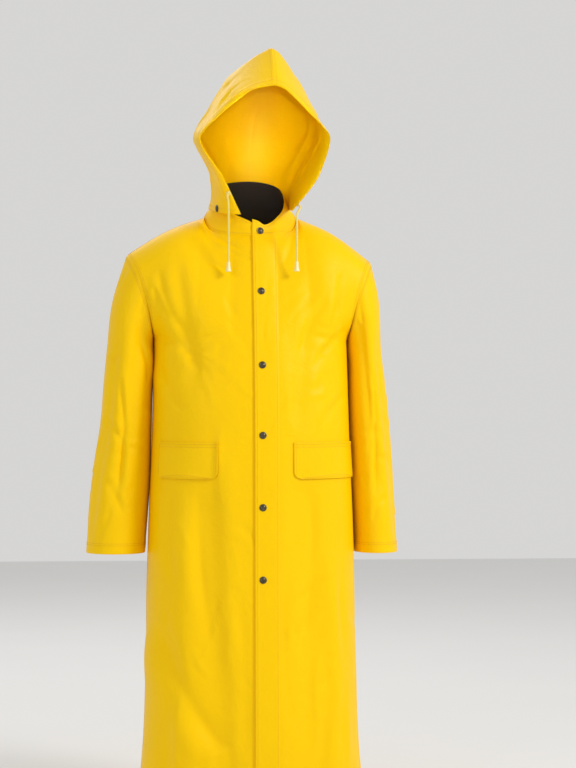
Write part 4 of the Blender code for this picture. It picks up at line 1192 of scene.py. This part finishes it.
@dataclass
class Hood:
    """The hood, sewn from two halves, with a tunnel for the drawcord along its front edge."""

    left: tuple[HoodRow, ...] = tuple(HoodRow(*row) for row in (
        (0.000, 0.080, -0.096, -0.004, 0.0810, 0.010, 0.005, 0.0744, 0.013),
        (0.000, 0.104, -0.114, 0.023, 0.0870, 0.008, 0.046, 0.0765, 0.056),
        (0.002, 0.133, -0.140, 0.066, 0.1060, -0.004, 0.096, 0.0700, 0.118),
        (0.010, 0.1525, -0.180, 0.141, 0.1360, -0.040, 0.152, 0.0600, 0.190),
        (0.022, 0.111, -0.192, 0.186, 0.1320, -0.050, 0.205, 0.0490, 0.248),
        (0.032, 0.078, -0.199, 0.218, 0.0980, -0.066, 0.268, 0.0300, 0.305),
        (0.035, 0.056, -0.201, 0.2385, 0.0580, -0.086, 0.322, 0.0080, 0.331),
        (0.036, 0.035, -0.202, 0.245, 0.0380, -0.100, 0.334, -0.020, 0.345)))
    right: tuple[HoodRow, ...] = tuple(HoodRow(*row) for row in (
        (0.000, 0.026, -0.097, -0.012, 0.0810, 0.010, 0.005, 0.0744, 0.013),
        (0.000, 0.044, -0.106, 0.024, 0.0820, 0.008, 0.046, 0.0765, 0.056),
        (-0.002, 0.067, -0.130, 0.066, 0.0900, -0.010, 0.088, 0.0700, 0.118),
        (-0.010, 0.1145, -0.182, 0.134, 0.1240, -0.056, 0.145, 0.0600, 0.190),
        (-0.022, 0.073, -0.190, 0.184, 0.0960, -0.058, 0.202, 0.0490, 0.248),
        (-0.032, 0.023, -0.197, 0.225, 0.0560, -0.072, 0.265, 0.0300, 0.305),
        (-0.035, -0.001, -0.200, 0.2385, -0.0010, -0.088, 0.315, 0.0080, 0.331),
        (-0.036, -0.035, -0.202, 0.245, -0.0380, -0.100, 0.334, -0.020, 0.345)))
    step: float = 1.45 * SOLID_WALL + 1.3 * GAP
    edge_steps: int = 5
    row_split: int = 16
    split: int = 8
    tunnel: float = 21 * MM
    hem: float = 12 * MM
    folds: dict = field(default_factory=lambda: {
        LEFT: (*laid(
            (0.060, 0.060, 0.150, 0.150, 10, 2.6, 0.008), (0.120, 0.030, 0.140, 0.190, 12, 2.6),
            (0.030, 0.180, 0.140, 0.240, 10, 2.2, 0.006), (0.180, 0.060, 0.190, 0.220, 12, 2.4),
            (0.060, 0.100, 0.070, 0.205, 9, -1.6), (0.100, 0.250, 0.180, 0.300, 10, 2.0)),
            Spread(81, 14, (0.03, 0.02), (0.24, 0.27), 70, 35, 0.06, 1.0 * MM)),
        RIGHT: (*laid(
            (0.050, 0.050, 0.140, 0.140, 10, 2.6, 0.008), (0.026, 0.196, 0.060, 0.250, 6, 2.4, 0.006),
            (0.110, 0.020, 0.130, 0.180, 12, 2.6), (0.170, 0.060, 0.180, 0.220, 12, 2.4),
            (0.040, 0.150, 0.130, 0.210, 10, 2.2, 0.006), (0.090, 0.240, 0.170, 0.300, 10, 2.0)),
            Spread(82, 14, (0.03, 0.02), (0.24, 0.27), 70, 35, 0.06, 1.0 * MM))})
    halves: dict = field(default_factory=dict)

    def section(self, row: HoodRow, hem: bool, side: int, collar: Collar) -> np.ndarray:
        """One section, from the front edge round the side to the back seam."""
        edge = np.array([row.edge_x, row.edge_y, row.edge_z])
        flank = np.array([row.side_x, row.side_y, row.side_z])
        seam = np.array([row.lean, row.back_y, row.back_z])
        if hem:
            flank = collar.outside(0.0, row.side_z, self.step)
            seam = collar.outside(1.0, row.back_z, self.step)
        out, along = np.array([1.0, 0.0, 0.0]), np.array([0.0, 1.0, 1.0])
        turn = np.linspace(0, math.pi / 2, self.edge_steps * self.split + 1)[:, None]
        front = edge + (flank - edge) * (out * np.sin(turn) + along * (1 - np.cos(turn)))
        turn = np.linspace(0, math.pi / 2, FORM.back_neck_steps * self.split + 1)[1:, None]
        back = flank + (seam - flank) * (out * (1 - np.cos(turn)) + along * np.sin(turn))
        if hem:
            back = np.array([collar.outside((n + 1) / len(back), point[2], self.step)
                             for n, point in enumerate(back)])
        section = np.concatenate((front, back))
        return section if side == LEFT else mirrored(section)

    def form(self, side: int, collar: Collar) -> np.ndarray:
        """The plain form of a half: rows from the hem up to the top seam."""
        table = self.left if side == LEFT else self.right
        return evenly([self.section(row, n == 0, side, collar) for n, row in enumerate(table)],
                      self.row_split * (len(table) - 1), ease=0.8)

    def build(self, collar: Collar) -> dict[str, list]:
        """Build both halves and give their rows of stitches."""
        forms = {side: self.form(side, collar) for side in SIDE_NAMES}
        normals = {}
        for side, form in forms.items():
            raw = ClothPiece("", form).normals()
            raw[-3:] = raw[-4]
            raw[:, -2:] = raw[:, -3:-2]
            raw[-3:, -2:] = raw[-4, -3]
            normals[side] = raw
        for edge in (np.s_[-1, :], np.s_[:, -1]):
            mean = unit(normals[LEFT][edge] + normals[RIGHT][edge])
            for side in forms:
                normals[side][edge] = mean
        sewn = {}
        for side, form in forms.items():
            rows, columns = lines(form.shape[0]), lines(form.shape[1])
            name = f"hood_{SIDE_NAMES[side]}"
            points = resampled(form, rows, columns)
            facing = unit(resampled(normals[side], rows, columns))
            piece = ClothPiece(
                name + "_half", points, (name,), sewn=(LAST_ROW, LAST_COLUMN), seam_dip=0.5 * MM,
                inside=HEM_INSIDE, turned={FIRST_COLUMN: self.tunnel, FIRST_ROW: self.hem},
                folds=self.folds[side], base_normals=facing)
            piece.across = piece.distance(FIRST_COLUMN)
            piece.build()
            piece.facing = ClothPiece("", piece.outer).normals()
            self.halves[side] = piece
            sewn[name + "_stitching"] = [
                piece.beside(FIRST_COLUMN, self.tunnel - 2 * MM), piece.beside(FIRST_COLUMN, 3 * MM),
                piece.beside(FIRST_ROW, self.hem - 2 * MM),
                *(piece.beside(edge, SEAM_STITCHES[0], 0, 0.92) for edge in (LAST_ROW, LAST_COLUMN))]
        return sewn

    def at(self, side: int, row: float, column: float) -> tuple[np.ndarray, np.ndarray]:
        """A point and a normal by the solids' rows and columns, two rows to a section."""
        piece = self.halves[side]
        rows = lines((len(self.left) - 1) * self.row_split + 1)
        columns = lines((self.edge_steps + FORM.back_neck_steps) * self.split + 1)
        place = (np.interp(row * self.row_split / 2, rows, np.arange(len(rows))),
                 np.interp(column * self.split, columns, np.arange(len(columns))))
        return piece.at(*place)


# ---- pocket flaps -----------------------------------------------------------------------------
@dataclass
class PocketFlap:
    """A flap sewn on a front along its top, with round lower corners and a doubled edge."""

    side: int
    first: int                  # the solids' columns of the front that it covers
    last: int
    top: float = -0.485
    bottom: float = -0.560
    corner: float = 15 * MM
    doubled: float = 9 * MM
    edge_turn: float = 4 * MM
    thickness: float = 1.8 * MM
    rows: int = 26
    columns: int = 52

    def build(self, front: ClothPiece, form_columns: int) -> list:
        """Build the flap on its front and give its rows of stitches."""
        places = lines(form_columns)
        start, end = (int(np.searchsorted(places, FINE * column)) for column in (self.first, self.last))
        heights = front.outer[:, start, 2]
        rows = np.interp(np.linspace(self.bottom, self.top, self.rows), heights, np.arange(len(heights)))
        columns = np.linspace(start, end, self.columns)
        grid_rows, grid_columns = np.meshgrid(rows, columns, indexing="ij")
        points, normals = front.along(grid_rows.ravel(), grid_columns.ravel())
        points, normals = (grid.reshape(self.rows, self.columns, 3) for grid in (points, normals))
        along = np.linalg.norm(np.diff(points[0], axis=0), axis=1).sum()
        u = np.linspace(0, along, self.columns)
        for n, row in enumerate(np.linspace(0, self.top - self.bottom, self.rows)):
            if row < self.corner:
                inset = self.corner - math.sqrt(self.corner ** 2 - (self.corner - row) ** 2)
                share = np.interp(np.linspace(inset, along - inset, self.columns), u, np.arange(self.columns))
                low = np.minimum(share.astype(int), self.columns - 2)
                t = (share - low)[:, None]
                for grid in (points, normals):
                    grid[n] = grid[n, low] * (1 - t) + grid[n, low + 1] * t
                normals[n] = unit(normals[n])
        word = SIDE_NAMES[self.side]
        lift = (self.thickness + 2 * GAP
                + 1.2 * MM * np.linspace(1, 0, self.rows)[:, None] ** 2 * np.ones(self.columns))
        piece = ClothPiece(f"flap_{word}", points, (f"pocket_flap_{word}",), sewn=(), lift=lift,
                           turned={FIRST_ROW: self.doubled, FIRST_COLUMN: self.edge_turn,
                                   LAST_COLUMN: self.edge_turn, LAST_ROW: self.edge_turn},
                           thickness=self.thickness, base_normals=normals)
        piece.build()
        return [piece.beside(FIRST_ROW, self.edge_turn, 0.04, 0.96),
                piece.beside(FIRST_ROW, self.doubled - 1 * MM, 0.02, 0.98),
                piece.beside(FIRST_COLUMN, self.edge_turn, 0.08),
                piece.beside(LAST_COLUMN, self.edge_turn, 0.08),
                piece.beside(LAST_ROW, self.edge_turn), piece.beside(LAST_ROW, 10 * MM)]


# ---- turned parts ---------------------------------------------------------------------------------
def turned_mesh(name: str, profile: tuple, sides: int, seat: np.ndarray, axis: np.ndarray,
                ring: bool = False) -> bpy.types.Mesh:
    """A turned solid.

    Args:
        name: The mesh's name.
        profile: Radius and height of each ring.
        sides: Facets round it.
        seat: Where the axis starts.
        axis: Its direction.
        ring: Whether the profile closes on itself.

    Returns:
        The mesh.
    """
    axis = unit(np.asarray(axis, float))
    side = unit(np.cross(axis, (0.0, 0.0, 1.0) if abs(axis[2]) < 0.9 else (1.0, 0.0, 0.0)))
    up = np.cross(axis, side)
    turns = np.arange(sides) * math.tau / sides
    loops = [seat + axis * height + radius * (np.outer(np.cos(turns), side) + np.outer(np.sin(turns), up))
             for radius, height in profile]
    vertices, faces = np.concatenate(loops), []
    pairs = [(n, n + 1) for n in range(len(profile) - 1)] + ([(len(profile) - 1, 0)] if ring else [])
    for low, high in pairs:
        for k in range(sides):
            m = (k + 1) % sides
            faces.append((low * sides + k, low * sides + m, high * sides + m, high * sides + k))
    if not ring:
        faces.append(tuple(reversed(range(sides))))
        faces.append(tuple(range((len(profile) - 1) * sides, len(profile) * sides)))
    return mesh_of(name, vertices, faces, 40.0)


@dataclass(frozen=True)
class Snap:
    """The cap of a press stud: a rolled rim, a shallow ring and a low dome."""

    radius: float = 7.5 * MM
    profile: tuple = ((0.88, -0.20), (0.97, 0.10), (1.00, 0.45), (0.99, 0.75), (0.94, 1.00), (0.86, 1.08),
                      (0.79, 1.00), (0.74, 0.86), (0.69, 0.92), (0.60, 1.45), (0.46, 1.95), (0.30, 2.25),
                      (0.14, 2.38), (0.04, 2.40))
    raise_by: float = 0.25 * MM

    def build(self, node: str, seat: np.ndarray, axis: np.ndarray) -> None:
        """Seat the cap of one stud on the cloth."""
        profile = tuple((radius * self.radius, height * MM) for radius, height in self.profile)
        dressed(node + "_cap", turned_mesh(node, profile, 40, seat + axis * self.raise_by, axis),
                Finish.METAL, node)


@dataclass(frozen=True)
class Drawcord:
    """One free end of the hood's cord, from its eyelet to its moulded tip."""

    side: int
    row: float
    fall: tuple[float, float]
    end: float
    column: float = 0.42
    radius: float = 2.25 * MM
    drop: float = 0.026
    pull: float = 0.015
    seat_raise: float = 2 * GAP
    ring: tuple = ((2.7, 0.0), (4.6, -0.1), (4.8, 0.3), (4.5, 0.8), (3.9, 1.0), (3.2, 0.95), (2.75, 0.7))
    tip: tuple = ((2.6, 0.6), (3.0, 0.0), (3.4, -1.2), (3.6, -2.6), (3.7, -6.0), (4.1, -10.0), (4.9, -14.5),
                  (5.8, -18.2), (6.0, -19.2), (5.7, -19.9), (4.2, -20.0), (3.9, -18.8))

    def build(self, hood: Hood) -> None:
        """Build the eyelet, the cord and the tip."""
        word = SIDE_NAMES[self.side]
        seat, axis = hood.at(self.side, self.row, self.column)
        seat = seat + axis * self.seat_raise
        ring = tuple((radius * MM, height * MM) for radius, height in self.ring)
        dressed(f"cord_eyelet_{word}", turned_mesh("eyelet", ring, 32, seat, axis, ring=True),
                Finish.PLASTIC, f"eyelet_{word}")
        start = seat + axis * GAP
        fall = np.array([*self.fall, start[2] - self.drop])
        end = np.array([*self.fall, self.end])
        t = np.linspace(0, 1, 13)[:, None]
        bend = ((1 - t) ** 3 * start + 3 * (1 - t) ** 2 * t * (start + axis * self.pull)
                + 3 * (1 - t) * t * t * (fall + (0, 0, self.pull)) + t ** 3 * fall)
        route = np.concatenate((bend, np.linspace(fall, end + (0, 0, GAP), 14)[1:]))
        curve = bpy.data.curves.new(f"hood_cord_{word}", "CURVE")
        curve.dimensions, curve.bevel_depth, curve.bevel_resolution = "3D", self.radius, 4
        curve.use_fill_caps = True
        line = curve.splines.new("POLY")
        line.points.add(len(route) - 1)
        for point, place in zip(line.points, route):
            point.co = (*place, 1.0)
        cord = dressed(curve.name, curve, Finish.CORD, f"drawcord_{word}")
        profile = tuple((radius * MM, height * MM) for radius, height in self.tip)
        tip = dressed(f"cord_tip_{word}", turned_mesh("tip", profile, 32, end, np.array([0.0, 0.0, 1.0])),
                      Finish.PLASTIC, f"cord_end_{word}")


# ---- studio ---------------------------------------------------------------------------------------
@dataclass(frozen=True)
class Studio:
    """A pale floor, soft lights and the camera."""

    azimuth: float = -4.6
    distance: float = 5.0
    metres_per_pixel: float = 0.00212
    frame: tuple[int, int] = (576, 768)
    origin: tuple[float, float] = (250.5, 212.0)    # where the coat's origin lies in the frame
    sensor: float = 24.0
    floor: float = -1.262
    floor_size: float = 14.0
    pale: tuple[float, float, float] = (0.80, 0.795, 0.785)
    glow: float = 0.84                              # strength of the air's light
    # place, target, size, power and spread of each lamp
    lamps: tuple = (((3.2, -2.6, 1.9), (0.0, 0.0, -0.4), 1.3, 96.0, 180),
                    ((-2.6, -3.4, 1.0), (0.0, 0.0, -0.5), 2.2, 16.0, 180),
                    ((-0.1, -3.2, 0.0), (0.01, -0.05, 0.135), 0.06, 0.070, 6),
                    ((-0.8, 3.2, 2.4), (0.0, 0.0, -0.4), 2.6, 40.0, 180))

    def camera(self) -> None:
        """Set the camera level with the coat, a little to the wearer's right."""
        turn = math.radians(self.azimuth)
        right, up = Vector((math.cos(turn), math.sin(turn), 0.0)), Vector((0.0, 0.0, 1.0))
        back = right.cross(up)
        width, height = self.frame
        centre = (right * ((width / 2 - self.origin[0]) * self.metres_per_pixel)
                  + up * ((self.origin[1] - height / 2) * self.metres_per_pixel))
        camera = bpy.data.cameras.new("camera")
        camera.sensor_fit, camera.sensor_height = "VERTICAL", self.sensor
        camera.lens = self.sensor * self.distance / (height * self.metres_per_pixel)
        thing = bpy.data.objects.new("camera", camera)
        bpy.context.scene.collection.objects.link(thing)
        thing.matrix_world = Matrix.Translation(centre + back * self.distance) @ Matrix(
            (right, up, back)).transposed().to_4x4()
        bpy.context.scene.camera = thing

    def light(self) -> None:
        """Hang the soft lights and set the air's pale glow."""
        for number, (place, target, size, power, spread) in enumerate(self.lamps):
            lamp = bpy.data.lights.new(f"soft_light_{number}", "AREA")
            lamp.shape, lamp.size, lamp.energy, lamp.spread = "DISK", size, power, math.radians(spread)
            thing = bpy.data.objects.new(lamp.name, lamp)
            bpy.context.scene.collection.objects.link(thing)
            thing.location = place
            aim = Vector(target) - Vector(place)
            thing.rotation_euler = aim.to_track_quat("-Z", "Y").to_euler()
        world = bpy.data.worlds.new("studio_air")
        world.use_nodes = True
        glow = world.node_tree.nodes["Background"]
        glow.inputs["Color"].default_value = (*self.pale, 1.0)
        glow.inputs["Strength"].default_value = self.glow
        bpy.context.scene.world = world
        bpy.context.scene.view_settings.view_transform = "Standard"

    def ground(self) -> None:
        """Lay the floor."""
        half = self.floor_size / 2
        mesh = bpy.data.meshes.new("floor")
        corners = ((-half, -half), (half, -half), (half, half), (-half, half))
        mesh.from_pydata([(x, y, self.floor) for x, y in corners], [], [(0, 1, 2, 3)])
        graph = Graph("pale_floor")
        cloud = graph.noise(3.0, 3.0)
        colour = graph.blended(cloud, (*self.pale, 1.0),
                               (*(0.97 * part for part in self.pale), 1.0))
        graph.plug(graph.shader, {"Base Color": colour, "Roughness": 0.9})
        mesh.materials.append(graph.material)
        thing = bpy.data.objects.new("floor", mesh)
        bpy.context.scene.collection.objects.link(thing)


# ---- the whole coat -----------------------------------------------------------------------------------
STUD_HEIGHTS = (-0.0445, -0.172, -0.3255, -0.470, -0.618, -0.766)
HOOD_STUDS = {"front": (3, 0.45), "back": (7, 0.90)}        # the solids' hood column and row
FLAPS = (PocketFlap(LEFT, 4, 12), PocketFlap(RIGHT, 5, 11))
CORDS = (Drawcord(LEFT, 1.0, (0.0885, -0.119), -0.111), Drawcord(RIGHT, 2.4, (-0.053, -0.116), -0.112))


def fasten(body: Body, collar: Collar, hood: Hood) -> None:
    """Seat the press studs on the fly, the collar and the hood."""
    snap = Snap()
    fly = body.pieces["fly_strip"]
    for number, height in enumerate(STUD_HEIGHTS, 1):
        carrier = collar.piece if number == 1 else fly
        line = np.argmin(np.abs(carrier.outer[-1, :, 0] - FORM.stud_line)
                         + (carrier.outer[-1, :, 1] > 0) + (carrier is collar.piece)
                         * (np.arange(carrier.outer.shape[1]) < carrier.outer.shape[1] / 2))
        heights = carrier.outer[:, line, 2]
        seat, axis = carrier.at(float(np.interp(height, heights, np.arange(len(heights)))), float(line))
        snap.build(f"front_snap_{number}", seat, axis)
    for side, word in SIDE_NAMES.items():
        for place, (column, row) in HOOD_STUDS.items():
            snap.build(f"hood_snap_{word}_{place}", *hood.at(side, row, column))


def main() -> None:
    """Dress the coat and set it in its studio."""
    logging.basicConfig(level=logging.INFO, format="%(message)s")
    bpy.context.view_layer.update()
    studio = Studio()
    studio.camera()
    body, collar, hood = Body(), Collar(), Hood()
    collar_rows = collar.build()
    sewn = hood.build(collar)
    for cord in CORDS:
        cord.build(hood)
    body.build()
    sewn |= body.stitching()
    sewn["collar_stitching"] = collar_rows
    for sleeve in (LEFT_SLEEVE, RIGHT_SLEEVE):
        sewn[f"sleeve_{SIDE_NAMES[sleeve.side]}_stitching"] = sleeve.build()
    for flap in FLAPS:
        word = SIDE_NAMES[flap.side]
        form_columns = body.front_form(flap.side).shape[1]
        sewn[f"flap_{word}_stitching"] = flap.build(body.pieces[f"front_{word}_panel"], form_columns)
    sewing = Sewing()
    for name, rows in sewn.items():
        sewing.build(name, rows)
    fasten(body, collar, hood)
    studio.light()
    studio.ground()


if __name__ == "__main__":
    main()
